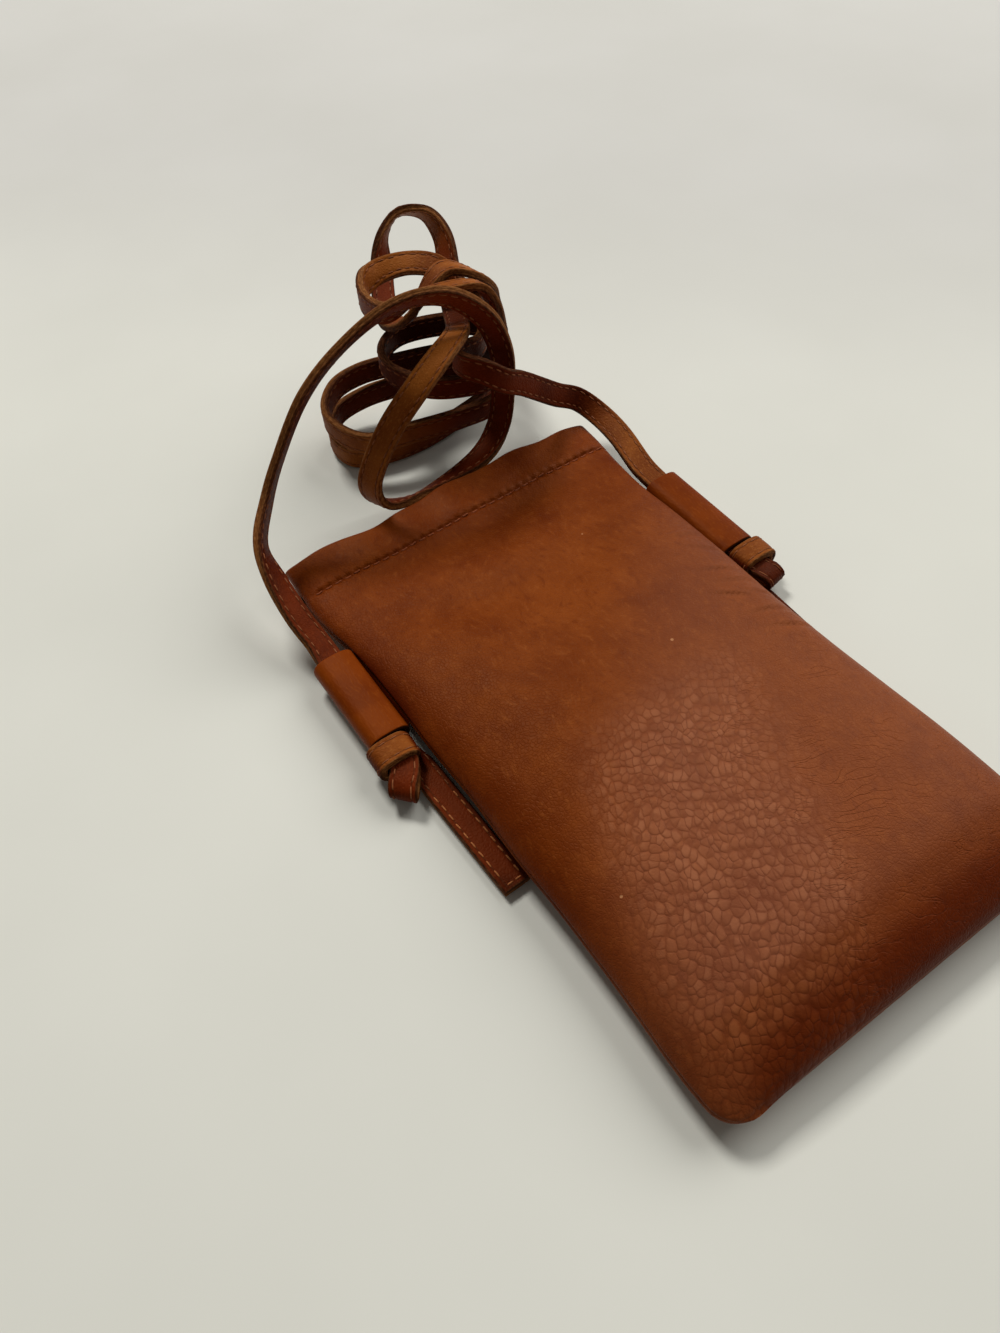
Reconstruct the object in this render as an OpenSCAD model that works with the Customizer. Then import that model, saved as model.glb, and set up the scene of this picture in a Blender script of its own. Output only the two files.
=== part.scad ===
// Soft phone pouch with a spring-frame mouth, two strap loops and a long flat carrying strap.
// It lies on its back: X across, Y from the closed bottom to the mouth, Z up, all in mm.

/* [Pouch] */
// Width across the mouth
pouch_w = 103; // [96:1:115]
// Length from the bottom edge to the mouth
pouch_length = 180; // [165:1:200]
// Height of the full middle above the table
pouch_h = 20; // [17:0.5:24]
// Height of the closed mouth above the table
mouth_h = 8; // [7.8:0.1:10]
// Height of the side and bottom seams above the table
seam_h = 8; // [7:0.5:9]
// Thickness of the two leather panels
leather_t = 1.2; // [1:0.1:1.3]
// Gap between the two panels along the seam
seam_gap = 0.3; // [0.3:0.1:0.5]
// Radius of the bottom corners in plan
corner_r = 7; // [4:0.5:12]
// How far the back of the mouth stands off the table
back_lift = 0.6; // [0.6:0.1:0.8]

/* [Hem] */
// Depth of the hem folded into the mouth
hem_depth = 15.5; // [14.5:0.5:18]
// Thickness of the leather folded in, thinned by skiving
fold_t = 0.8; // [0.6:0.1:0.9]
// Distance from the hem's raw edge up to its stitch line
stitch_inset = 1.5; // [1:0.1:2]
// Pitch of the hem stitches
stitch_pitch = 3; // [2.6:0.2:4]
// Visible length of one stitch
stitch_len = 2.1; // [1.6:0.1:2.4]
// Thread thickness
thread_d = 0.45; // [0.3:0.05:0.5]
// Distance from the end stitches to the side seams
stitch_end = 6; // [5:0.5:12]

/* [Spring frame] */
// Width of the spring strips
strip_w = 10; // [8:0.5:10]
// Thickness of the spring strips
strip_t = 0.6; // [0.4:0.1:0.6]
// Distance from the mouth edge to the strips
strip_inset = 2.2; // [1.8:0.1:2.4]
// Distance from each side seam in to its hinge pin
pin_inset = 6.5; // [6:0.1:9]
// Pin diameter
pin_d = 1.5; // [1.2:0.1:1.6]
// Radial clearance round the pins
pin_gap = 0.05; // [0.03:0.01:0.1]
// Wall of the rolled knuckles
knuckle_wall = 0.45; // [0.35:0.05:0.45]
// Free space between the strip and the panel over it
strip_room = 0.45; // [0.4:0.05:0.6]
// Gap between the strip and the folded hem
fold_gap = 0.1; // [0.1:0.05:0.2]
// Clearance of the front strip's open saddles round the pins
saddle_gap = 0.3; // [0.3:0.05:0.4]

/* [Strap loops] */
// Outer width of the flattened loops
loop_w = 11.3; // [10.5:0.1:12.5]
// Outer height of the loops
loop_h = 7; // [6.4:0.1:8]
// Loop wall thickness
loop_wall = 1.3; // [1:0.1:1.4]
// Corner radius of the loops
loop_r = 3; // [2:0.1:3.1]
// Gap between a loop and the side seam it is sewn to
loop_gap = 0.68; // [0.3:0.02:0.9]
// Distance from the mouth down to the top of the loops
loop_drop = 36.5; // [34:0.5:44]
// Length of the left loop
left_loop_l = 29; // [26:0.5:34]
// Length of the right loop
right_loop_l = 32.5; // [28:0.5:36]

/* [Strap] */
// Strap width
strap_w = 7; // [6:0.1:7.2]
// Strap thickness
strap_t = 2.3; // [1.8:0.1:2.3]
// Bevel on the strap's edges
strap_bevel = 0.4; // [0.2:0.1:0.6]
// Height of the strap's middle in the loops
strap_z = 6; // [5.6:0.1:6.4]
// Gap between a knot and the end of its loop
knot_gap = 0.5; // [0.3:0.1:1]
// Width of the knots
knot_w = 11; // [9:0.5:11]
// How far the knots sit out from the middle of their loops
knot_out = 1.5; // [1:0.1:2]
// Height of the knots
knot_h = 8.6; // [8:0.1:9.6]
// Length of the left knot
left_knot_l = 16; // [13:0.5:19]
// Length of the right knot
right_knot_l = 17; // [14:0.5:20]
// Length of the strap's tails past the knots
tail_l = 31; // [24:0.5:38]
// Angle of the tails to the pouch's length
tail_tilt = 3; // [0:0.5:5]
// How far the tails lie above the table
tail_lift = 0.1; // [0:0.05:0.3]

/* [Hidden] */
$fn = 48;
over = 1; // every cut runs past the face by this

// Places along the pouch: 0 at the bottom edge, 1 at the mouth
row_shares = [0, 0.004, 0.012, 0.025, 0.045, 0.07, 0.11, 0.17, 0.25, 0.34, 0.43, 0.52, 0.61,
    0.69, 0.76, 0.82, 0.87, 0.91, 0.955, 1];
// Half width at those places, as a share of half the mouth's width
width_shares = [[0, 0.95], [0.08, 0.965], [0.19, 0.945], [0.3, 0.91], [0.4, 0.9], [0.5, 0.903],
    [0.6, 0.895], [0.72, 0.925], [0.8, 0.945], [0.88, 0.97], [0.93, 0.99], [1, 1]];
// Fullness of the front: 0 lies at the seam, 1 at the full height
crown_shares = [[0, 0], [0.01, 0.28], [0.025, 0.46], [0.045, 0.6], [0.07, 0.71], [0.11, 0.82],
    [0.17, 0.92], [0.25, 1], [0.34, 0.99], [0.43, 0.95], [0.52, 0.86], [0.61, 0.72], [0.69, 0.54],
    [0.76, 0.35], [0.82, 0.18], [0.87, 0.06], [0.91, 0], [1, 0]];
// How far the back rises from the table to the seam at the bottom end
rise_shares = [[0, 1], [0.004, 0.72], [0.012, 0.46], [0.025, 0.24], [0.045, 0.1], [0.07, 0.03],
    [0.11, 0], [1, 0]];
// How far the back stands off the table towards the mouth
lift_shares = [[0, 0], [0.76, 0], [0.87, 0.7], [0.91, 1], [1, 1]];
// How far the seam has come down from its full height towards the mouth's middle
drop_shares = [[0, 0], [0.69, 0], [0.76, 0.2], [0.82, 0.55], [0.87, 0.85], [0.91, 1], [1, 1]];
// Powers that shape the front's and the back's section across
front_powers = [[0, 4], [0.11, 3.4], [0.52, 3], [0.69, 4], [0.82, 8], [0.91, 18], [1, 18]];
front_roots = [[0, 0.6], [0.69, 0.55], [0.91, 0.4], [1, 0.4]];
back_powers = [[0, 3.5], [0.69, 3.5], [0.91, 9], [1, 9]];
back_roots = [[0, 0.5], [0.69, 0.5], [0.91, 0.4], [1, 0.4]];
back_flat_share = 0.5;
half_columns = 9;
columns = 2*half_columns + 1;
rows = len(row_shares);

mouth_mid = (mouth_h + back_lift)/2;
mouth_y = pouch_length/2;
function at(v, table) = lookup(v, table);
function seam_z(v) = seam_h + (mouth_mid - seam_h)*at(v, drop_shares);
function from_end(v, in) = max(0, corner_r - v*pouch_length);
function half_x(v, in) = pouch_w/2*at(v, width_shares) - in
    - (corner_r - sqrt(max(0, corner_r*corner_r - pow(from_end(v, in), 2))));
function y_at(v, in) = -pouch_length/2 + in + v*(pouch_length - in);
function u_at(c) = sin(90*(c - half_columns)/half_columns);

function front_rim(v) = seam_z(v) + seam_gap/2;
function front_floor(v) = mouth_h + (seam_h + seam_gap/2 - mouth_h)*(1 - at(v, drop_shares));
function front_top(v) = let (f = v < 0.5 ? front_rim(v) : front_floor(v))
    f + (pouch_h - f)*at(v, crown_shares);
function front_bulge(u, v) = pow(1 - pow(abs(u), at(v, front_powers)), at(v, front_roots));
function front_z(u, v, in) = front_rim(v)
    + max(0, front_top(v) - in - front_rim(v))*front_bulge(u, v);

function back_rim(v) = seam_z(v) - seam_gap/2;
function back_base(v) = back_lift*at(v, lift_shares) + back_rim(v)*at(v, rise_shares);
function back_bulge(u, v) =
    pow(1 - pow(max(0, (abs(u) - back_flat_share)/(1 - back_flat_share)), at(v, back_powers)),
        at(v, back_roots));
function back_z(u, v, in) = back_rim(v)
    - max(0, back_rim(v) - back_base(v) - in)*back_bulge(u, v);

// One closed shell: the outer skin, the inner skin a leather's thickness in, and the edges
function skin(front, in) = [for (v = row_shares) for (c = [0 : columns - 1])
    let (u = u_at(c)) [u*half_x(v, in), y_at(v, in), front ? front_z(u, v, in) : back_z(u, v, in)]];
function id(r, c) = r*columns + c;
function turned(faces, flip) = flip ? [for (f = faces) [f[2], f[1], f[0]]] : faces;
function shell_faces(flip) =
    let (m = rows*columns, q = columns - 1, s = rows - 1)
    let (
        outer = [for (r = [0 : s - 1]) for (c = [0 : q - 1])
            each [[id(r, c), id(r + 1, c), id(r + 1, c + 1)], [id(r, c), id(r + 1, c + 1), id(r, c + 1)]]],
        inner = [for (f = outer) [f[2] + m, f[1] + m, f[0] + m]],
        edge = concat(
            [for (r = [0 : s - 1]) [id(r, 0), id(r + 1, 0)]],
            [for (c = [0 : q - 1]) [id(s, c), id(s, c + 1)]],
            [for (r = [0 : s - 1]) [id(r + 1, q), id(r, q)]],
            [for (c = [0 : q - 1]) [id(0, c + 1), id(0, c)]]),
        rim = [for (e = edge) each [[e[1], e[0], e[0] + m], [e[1], e[0] + m, e[1] + m]]])
    turned(concat(outer, inner, rim), flip);
module shell(front) {
    polyhedron(points = concat(skin(front, 0), skin(front, leather_t)),
        faces = shell_faces(!front), convexity = 6);
}

module front_panel() { color("sienna") shell(true); }
module back_panel() { color("saddlebrown") shell(false); }

// The mouth's layers, from the front panel down and from the back panel up
pin_span = pouch_w - 2*pin_inset;
knuckle_r = pin_d/2 + pin_gap + knuckle_wall;
front_in = mouth_h - leather_t;
back_in = back_lift + leather_t;
front_strip_z = front_in - strip_room - strip_t;
back_strip_z = back_in + strip_room;
front_fold_z = front_strip_z - fold_gap - fold_t;
saddle_r = front_strip_z + strip_t/2 - mouth_mid;
hem_w = pin_span - 2*saddle_r - 2*saddle_gap;
back_fold_z = back_strip_z + strip_t + fold_gap;
strip_y = mouth_y - strip_inset - strip_w;
turn_w = strip_inset/2;
turn_gap = strip_room/2;

module slab(w, y, d, z, h) { translate([-w/2, y, z]) cube([w, d, h]); }
module front_hem() {
    color("peru") {
        slab(hem_w, mouth_y - hem_depth, hem_depth, front_fold_z, fold_t);
        slab(hem_w, mouth_y - turn_w, turn_w, front_fold_z, front_in - turn_gap - front_fold_z);
    }
}
module back_hem() {
    color("peru") {
        slab(hem_w, mouth_y - hem_depth, hem_depth, back_fold_z, fold_t);
        slab(hem_w, mouth_y - turn_w, turn_w, back_in + turn_gap,
            back_fold_z + fold_t - back_in - turn_gap);
    }
}

// A row of stitches across each side of the mouth, lying on the leather
stitch_v = 1 - (hem_depth - stitch_inset)/pouch_length;
stitch_half = half_x(stitch_v, 0) - stitch_end;
stitch_count = 2*floor(stitch_half/stitch_pitch);
thread_seat = thread_d/10;
module stitches(front) {
    for (i = [0 : stitch_count])
        let (x = (i - stitch_count/2)*stitch_pitch, u = x/half_x(stitch_v, 0))
            translate([x - stitch_len/2, y_at(stitch_v, 0),
                front ? front_z(u, stitch_v, 0) + thread_d/2 + thread_seat
                      : back_z(u, stitch_v, 0) - thread_d/2 - thread_seat])
                rotate([0, 90, 0]) cylinder(d = thread_d, h = stitch_len);
}
module front_hem_stitches() { color("chocolate") stitches(true); }
module back_hem_stitches() { color("chocolate") stitches(false); }

// Two spring strips; the back one's knuckles hold the pins, the front one's saddles rest over them
pin_x = pin_span/2;
knuckle_l = strip_w/3 - saddle_gap;
module knuckle(side, y) {
    difference() {
        union() {
            translate([side*pin_x, y + knuckle_l, mouth_mid]) rotate([90, 0, 0])
                cylinder(r = knuckle_r, h = knuckle_l);
            translate([side*pin_x - knuckle_r, y, back_strip_z])
                cube([2*knuckle_r, knuckle_l, mouth_mid - back_strip_z]);
        }
        translate([side*pin_x, y + knuckle_l + over, mouth_mid]) rotate([90, 0, 0])
            cylinder(r = pin_d/2 + pin_gap, h = knuckle_l + 2*over);
    }
}
module back_spring_strip() {
    color("silver") {
        slab(pin_span - 2*knuckle_r, strip_y, strip_w, back_strip_z, strip_t);
        for (side = [-1, 1]) for (y = [strip_y, strip_y + strip_w - knuckle_l]) knuckle(side, y);
    }
}
module saddle(side) {
    y = strip_y + strip_w/2 + knuckle_l/2;
    difference() {
        translate([side*pin_x, y, mouth_mid]) rotate([90, 0, 0]) cylinder(r = saddle_r, h = knuckle_l);
        translate([side*pin_x, y + over, mouth_mid]) rotate([90, 0, 0])
            cylinder(r = pin_d/2 + saddle_gap, h = knuckle_l + 2*over);
        translate([side*pin_x - saddle_r - over, y - knuckle_l - over, mouth_mid - saddle_r - over])
            cube([2*saddle_r + 2*over, knuckle_l + 2*over, saddle_r + over]);
    }
}
module front_spring_strip() {
    color("silver") {
        slab(pin_span + 2*knuckle_r, strip_y, strip_w, front_strip_z, strip_t);
        for (side = [-1, 1]) saddle(side);
    }
}
module pin(side) {
    translate([side*pin_x, strip_y + strip_w, mouth_mid]) rotate([90, 0, 0])
        cylinder(d = pin_d, h = strip_w);
}
module left_hinge_pin() { color("dimgray") pin(-1); }
module right_hinge_pin() { color("dimgray") pin(1); }

// Loops: flattened tubes along the side seams, with the strap's straight pieces in them
loop_top = mouth_y - loop_drop;
loop_x = half_x((loop_top + mouth_y)/pouch_length, 0) + loop_gap + loop_w/2;
left_loop_y = loop_top - left_loop_l;
right_loop_y = loop_top - right_loop_l;
module round_rect(w, h, r) {
    square([w - 2*r, h], center = true);
    square([w, h - 2*r], center = true);
    for (a = [-1, 1]) for (b = [-1, 1]) translate([a*(w/2 - r), b*(h/2 - r)]) circle(r = r);
}
module along(x, y, z, l) { translate([x, y + l, z]) rotate([90, 0, 0]) linear_extrude(l) children(); }
module loop(x, y, l) {
    difference() {
        along(x, y, strap_z, l) round_rect(loop_w, loop_h, loop_r);
        along(x, y - over, strap_z, l + 2*over)
            round_rect(loop_w - 2*loop_wall, loop_h - 2*loop_wall, loop_r - loop_wall);
    }
}
module left_loop() { color("chocolate") loop(-loop_x, left_loop_y, left_loop_l); }
module right_loop() { color("chocolate") loop(loop_x, right_loop_y, right_loop_l); }

module strap_section() {
    polygon([[-strap_w/2, 0], [-strap_w/2 + strap_bevel, strap_t/2], [strap_w/2 - strap_bevel, strap_t/2],
        [strap_w/2, 0], [strap_w/2 - strap_bevel, -strap_t/2], [-strap_w/2 + strap_bevel, -strap_t/2]]);
}
left_knot_top = left_loop_y - knot_gap;
right_knot_top = right_loop_y - knot_gap;
strap_start = loop_top + knot_gap;
module left_loop_strap() {
    color("chocolate") along(-loop_x, left_knot_top, strap_z, strap_start - left_knot_top) strap_section();
}
module right_loop_strap() {
    color("chocolate") along(loop_x, right_knot_top, strap_z, strap_start - right_knot_top) strap_section();
}

// Knots: two lobes and the turn pulled round them
lobe_inset = knot_w/20;
knot_r = knot_h/3;
knot_z = strap_z - strap_t/2;
module knot(x, y, l) {
    along(x, y, knot_z, l) round_rect(knot_w - 2*lobe_inset, knot_h - 2*lobe_inset, knot_r - lobe_inset);
    along(x, y + l/4, knot_z, l/2) round_rect(knot_w, knot_h, knot_r);
}
left_knot_y = left_knot_top - left_knot_l;
right_knot_y = right_knot_top - right_knot_l;
module left_knot() { color("sienna") knot(-loop_x - knot_out, left_knot_y, left_knot_l); }
module right_knot() { color("sienna") knot(loop_x + knot_out, right_knot_y, right_knot_l); }

// Tails on the table, leaning in under the pouch's side
tail_in = knot_w/4;
tail_drop = sin(tail_tilt)*strap_w/2 + thread_seat;
module tail(side, y) {
    translate([side*(loop_x - tail_in), y, tail_lift + strap_t/2]) rotate([0, 0, -side*tail_tilt])
        along(0, -tail_l, 0, tail_l) strap_section();
}
module left_tail() { color("chocolate") tail(-1, left_knot_y - tail_drop); }
module right_tail() { color("chocolate") tail(1, right_knot_y - tail_drop); }

// The free strap: points chosen by hand along its route, and the way its width lies at each
ROUTE = [
    [-55, 54, 6], [-55, 61, 7], [-56, 69, 11], [-56, 79, 16], [-54.2, 89.3, 20],
    [-47.4, 97.2, 24.8], [-39.8, 101.3, 33], [-27.7, 104.4, 45.8], [-13.4, 106.8, 53.5],
    [2.2, 106.1, 59.1], [15.9, 102.8, 58.5], [26.4, 100.8, 49.6], [31.3, 99.7, 37.6],
    [32, 100.1, 23.9], [28.6, 98.8, 11], [17.7, 95, 6], [-3, 94.6, 3.6], [-14.5, 95, 7],
    [-18.3, 93.8, 17.7], [-11, 93, 32], [-1, 92, 43], [10, 95, 48], [19, 103, 45], [27, 115, 38],
    [34, 129, 35], [40, 140, 39], [44, 149, 44], [43, 157, 48], [36, 161, 49], [29, 159, 45],
    [24, 153, 39], [18.6, 143.6, 34.9], [15.1, 133.8, 34], [15.6, 124.3, 39.7], [20.2, 120.7, 48.4],
    [27.6, 121.5, 52.5], [34.5, 119.3, 50.1], [40.7, 120.8, 43.4], [46.1, 127.4, 32.1],
    [50.4, 131.4, 20.6], [49, 127, 9], [40, 121, 4], [26, 117, 4], [10, 115, 4], [-3, 117, 4],
    [-11, 122, 4], [-12, 131, 5], [-6, 138, 7], [4, 138, 9], [14, 134, 11], [24, 130, 12],
    [34, 126, 13], [41, 120, 13], [41, 111, 13], [32, 106, 13], [19, 107, 13], [6, 110, 13],
    [-6, 114, 12], [-12, 121, 13], [-13, 130, 15], [-6, 137, 17], [4, 138, 18], [15, 134, 19],
    [26, 129, 20], [36, 123, 21], [39, 114, 22], [32, 106, 23], [21, 106, 25], [12, 111, 26],
    [6.9, 122.1, 26.5], [9.6, 131.5, 26.6], [19, 136, 27], [32.5, 129.3, 28.6], [41, 116, 32],
    [37.4, 110.3, 40.4], [34.2, 108.2, 47.9], [30, 109, 53], [20, 113, 53], [12, 117, 50],
    [7, 124, 46], [7, 133, 45], [11, 140, 45], [18, 143, 45], [26, 140, 46], [32, 133.7, 45.8],
    [34.4, 126.4, 42.3], [34.9, 116.3, 40.7], [30.8, 108, 38], [27.8, 105.3, 36.5],
    [22.4, 103.6, 37.6], [17.2, 100.7, 39.6], [16.9, 96.1, 40.1], [21.3, 93, 37.7],
    [27.3, 91.8, 32.6], [33.3, 92.6, 28.5], [40.3, 93.5, 22.5], [47.1, 93.7, 16.9],
    [54.1, 92.5, 12.6], [57.4, 85.6, 9.5], [57.1, 75, 8.5], [55.1, 62.2, 6.8], [55, 54, 6]
];
ACROSS = [
    [-1, 0, 0], [-0.9, 0, 0.4], [-0.9, 0, 0.4], [-0.8, -0.1, 0.6], [-0.3, -0.4, 0.9],
    [-0.3, -0.5, 0.8], [-0.2, -0.6, 0.9], [-0.2, -0.6, 0.9], [0, -0.6, 0.8], [0, -0.6, 0.8],
    [0.3, -0.6, 0.8], [0.6, -0.6, 0.4], [0.7, -0.7, 0.2], [0.7, -0.7, 0], [0.6, -0.7, -0.2],
    [0.2, -0.9, 0.1], [0, -0.7, 0.7], [0.2, -0.9, 0.2], [0.5, -0.8, 0], [0.6, -0.7, 0.1],
    [0.7, -0.6, 0], [0.7, -0.7, 0], [0.8, -0.5, 0], [0.9, -0.4, 0], [1, -0.3, 0.1],
    [0.7, -0.5, 0.4], [0.3, -0.7, 0.6], [0, -0.8, 0.6], [-0.2, -0.8, 0.6], [-0.5, -0.6, 0.6],
    [-0.8, 0, 0.3], [-0.9, 0.3, 0.1], [-1, 0.1, 0], [-0.9, -0.4, 0.1], [-0.4, -0.9, 0.1],
    [0, -1, 0.1], [0.2, -1, 0], [0.3, -1, 0], [0.6, -0.8, 0], [0.6, -0.6, 0.4], [0, 0, 1],
    [0, 0, 1], [0, 0, 1], [0, 0, 1], [0, 0, 1], [0, 0, 1], [0, 0, 1], [0, 0, 1], [0, 0, 1],
    [0, 0, 1], [0, 0, 1], [0, 0, 1], [0, 0, 1], [0, 0, 1], [0, 0, 1], [0, 0, 1], [0, 0, 1],
    [0, 0, 1], [0, 0, 1], [0, 0, 1], [0, 0, 1], [0, 0, 1], [0, 0, 1], [0, 0, 1], [0, 0, 1],
    [0, 0, 1], [0, 0, 1], [0, 0, 1], [0, 0, 1], [0, 0, 1], [0, 0, 1], [0, 0, 1], [0, 0, 1],
    [0, 0.6, 1], [0, 1, 0.6], [0, 1, -0.1], [0, 1, -0.3], [0, 1, -0.3], [0, 0.8, -0.6],
    [0, 0.3, -1], [0, 0, -1], [-0.1, -0.3, -1], [0, -0.8, -0.6], [0.1, -1, -0.3],
    [-0.3, -0.9, -0.4], [-0.1, -0.5, -0.9], [0, 0, -1], [0, 0, -1], [0, 0, -1], [0, 0, -1],
    [0, 0, -1], [-0.1, -0.1, -1], [-0.1, -0.1, -1], [-0.1, -0.1, -1], [-0.1, -0.2, -1],
    [-0.2, -0.3, -1], [-0.3, -0.5, -0.9], [-0.5, -0.5, -0.8], [-0.8, -0.3, -0.5], [-1, -0.1, -0.3],
    [-1, 0, -0.1], [-1, 0, 0]
];
steps = 3;
first_split = 13;
second_split = 90;
last = len(ROUTE) - 1;
function knot_at(i) = i < 0 ? 2*ROUTE[0] - ROUTE[1] : i > last ? 2*ROUTE[last] - ROUTE[last - 1] : ROUTE[i];
function unit(v) = v/norm(v);
function curve(a, b, c, d, t) = (2*b + (c - a)*t + (2*a - 5*b + 4*c - d)*t*t + (3*b - a - 3*c + d)*t*t*t)/2;
function spot(k) = let (i = min(last - 1, floor(k/steps)), t = k/steps - i)
    curve(knot_at(i - 1), knot_at(i), knot_at(i + 1), knot_at(i + 2), t);
function lay(k) = let (i = min(last - 1, floor(k/steps)), t = k/steps - i)
    unit(ACROSS[i])*(1 - t) + unit(ACROSS[i + 1])*t;
end = last*steps;
SPOTS = [for (k = [0 : end]) spot(k)];
ALONG = [for (k = [0 : end]) k == 0 || k == end ? [0, k == 0 ? 1 : -1, 0] : unit(SPOTS[k + 1] - SPOTS[k - 1])];
WIDE = [for (k = [0 : end]) let (w = lay(k)) unit(w - (w*ALONG[k])*ALONG[k])];
FLAT = [for (k = [0 : end]) cross(ALONG[k], WIDE[k])];
function ring(k) = [for (p = [[1, 0, 0], [1, -1, 1], [-1, 1, 1], [-1, 0, 0], [-1, 1, -1], [1, -1, -1]])
    SPOTS[k] + (p[0]*strap_w/2 + p[1]*strap_bevel)*WIDE[k] + p[2]*strap_t/2*FLAT[k]];
module ribbon(a, b) {
    n = b - a;
    polyhedron(points = [for (k = [a : b]) each ring(k)],
        faces = concat([for (j = [1 : 4]) [0, j, j + 1]],
            [for (i = [0 : n - 1]) for (j = [0 : 5]) let (g = (j + 1)%6, p = 6*i, q = 6*i + 6)
                each [[p + j, q + j, q + g], [p + j, q + g, p + g]]],
            [for (j = [1 : 4]) [6*n, 6*n + j + 1, 6*n + j]]),
        convexity = 20);
}
module strap_left_run() { color("sienna") ribbon(0, first_split*steps); }
module strap_bundle() { color("peru") ribbon(first_split*steps, second_split*steps); }
module strap_right_run() { color("sienna") ribbon(second_split*steps, end); }

// Least gap between parts of the strap that lie further apart along it than this
apart = 18;
GONE = [for (k = 0, s = 0; k <= end; s = s + (k < end ? norm(SPOTS[k + 1] - SPOTS[k]) : 0), k = k + 1) s];
function beyond(x, h) = max(0, abs(x) - h);
function box_gap(p, k, h) = let (d = p - SPOTS[k])
    norm([beyond(d*ALONG[k], h), beyond(d*WIDE[k], strap_w/2), beyond(d*FLAT[k], strap_t/2)]);
union() {  // strap_bundle
    near = [for (i = [1 : end]) for (j = [1 : end - 1])
        if (abs(GONE[i] - GONE[j]) > apart && norm(SPOTS[i] - SPOTS[j]) < 2*strap_w)
            for (p = ring(i)) box_gap(p, j, norm(SPOTS[j + 1] - SPOTS[j - 1])/4)];
    echo(strap_length = GONE[end], least_gap = min(near));
}

front_panel();
back_panel();
front_hem();
back_hem();
front_hem_stitches();
back_hem_stitches();
front_spring_strip();
back_spring_strip();
left_hinge_pin();
right_hinge_pin();
left_loop();
right_loop();
left_loop_strap();
right_loop_strap();
left_knot();
right_knot();
left_tail();
right_tail();
strap_left_run();
strap_bundle();
strap_right_run();
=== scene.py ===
# %% [markdown]
# A leather phone pouch lies on its back on a pale table. Its mouth is held shut by two spring strips in the hem,
# and a long flat stitched strap runs through a loop on each side and is knotted under it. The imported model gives
# the places, sizes and joints. Here each soft piece is made again as leather, with its folds, grain and stitches.

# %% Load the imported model
import bpy
import numpy as np
from mathutils import Matrix


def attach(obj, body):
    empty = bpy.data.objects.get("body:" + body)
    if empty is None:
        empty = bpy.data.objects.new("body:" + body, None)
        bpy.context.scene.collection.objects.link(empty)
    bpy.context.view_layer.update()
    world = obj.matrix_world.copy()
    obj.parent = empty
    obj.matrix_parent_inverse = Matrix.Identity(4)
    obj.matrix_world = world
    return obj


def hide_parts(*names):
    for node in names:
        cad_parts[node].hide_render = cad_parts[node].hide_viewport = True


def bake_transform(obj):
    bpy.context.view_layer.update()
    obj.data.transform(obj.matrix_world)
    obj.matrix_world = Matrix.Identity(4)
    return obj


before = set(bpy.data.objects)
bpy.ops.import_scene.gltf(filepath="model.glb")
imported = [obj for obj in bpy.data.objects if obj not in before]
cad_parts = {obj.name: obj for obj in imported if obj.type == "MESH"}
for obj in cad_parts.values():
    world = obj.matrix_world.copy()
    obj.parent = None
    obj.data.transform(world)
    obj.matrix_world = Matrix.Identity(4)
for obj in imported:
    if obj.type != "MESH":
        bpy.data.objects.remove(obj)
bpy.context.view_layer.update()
MM = 0.001  # shapes are worked out in millimetres and put into the meshes in metres

# %% [markdown]
# The camera comes first. It was worked out from the pouch's corners in the photograph: a phone's wide lens held
# above the left bottom corner, so the near end looks large.

# %% The camera
def show(name, data):
    """A new object in the scene."""
    thing = bpy.data.objects.new(name, data)
    bpy.context.scene.collection.objects.link(thing)
    return thing

def aim(thing, right, back, place):
    """Stand a camera or a lamp at a place, in metres; it looks away from its back."""
    matrix = np.eye(4)
    matrix[:3] = np.stack([right, np.cross(back, right), back, place], axis=1)
    thing.matrix_world = Matrix(matrix.tolist())

lens = bpy.data.cameras.new("view_from_above_left")
lens.sensor_fit, lens.sensor_height, lens.lens = "VERTICAL", 36, 26.897
lens.clip_start, lens.clip_end = 0.01, 20
camera_place = np.array((-0.099685, -0.101985, 0.211502))
camera = show("view_from_above_left", lens)
aim(camera, (0.82151842, -0.56871884, -0.04082114), (-0.30991593, -0.50547535, 0.80526194), camera_place)
bpy.context.scene.camera = camera
print("camera", np.round(camera_place/MM, 1), "mm, lens", lens.lens)

# %% [markdown]
# Two helpers make every mesh. One closes a sheet: an outer skin, an inner skin and the cut edge between them,
# as hide has a grain side, a flesh side and a raw edge. The other closes a tube of rings, such as a strap. Each
# face corner gets the normal of its own side, so a cut edge stays crisp while the grain side shades smoothly.

# %% Grid and mesh helpers
def unit(v):
    """Vectors divided by their lengths."""
    return v/np.maximum(np.linalg.norm(v, axis=-1, keepdims=True), 1e-12)

def grid_normals(p):
    """Unit normals of a grid of points: the cross product of its two directions of travel."""
    return unit(np.cross(np.gradient(p, axis=1), np.gradient(p, axis=0)))

def grid_points(x, y, z):
    """Points from x, y and z, each spread over the same grid."""
    return np.stack(np.broadcast_arrays(x, y, z), -1)

def grid_quads(index):
    """Quads between the neighbours in a grid of point numbers."""
    return np.stack([index[:-1, :-1], index[:-1, 1:], index[1:, 1:], index[1:, :-1]], -1).reshape(-1, 4)

def face_normals(p, faces):
    """Unit normals of flat faces: the sum of the cross products of each face's neighbouring corners."""
    return unit(np.cross(p[faces], p[np.roll(faces, -1, axis=1)]).sum(axis=1))

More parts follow.
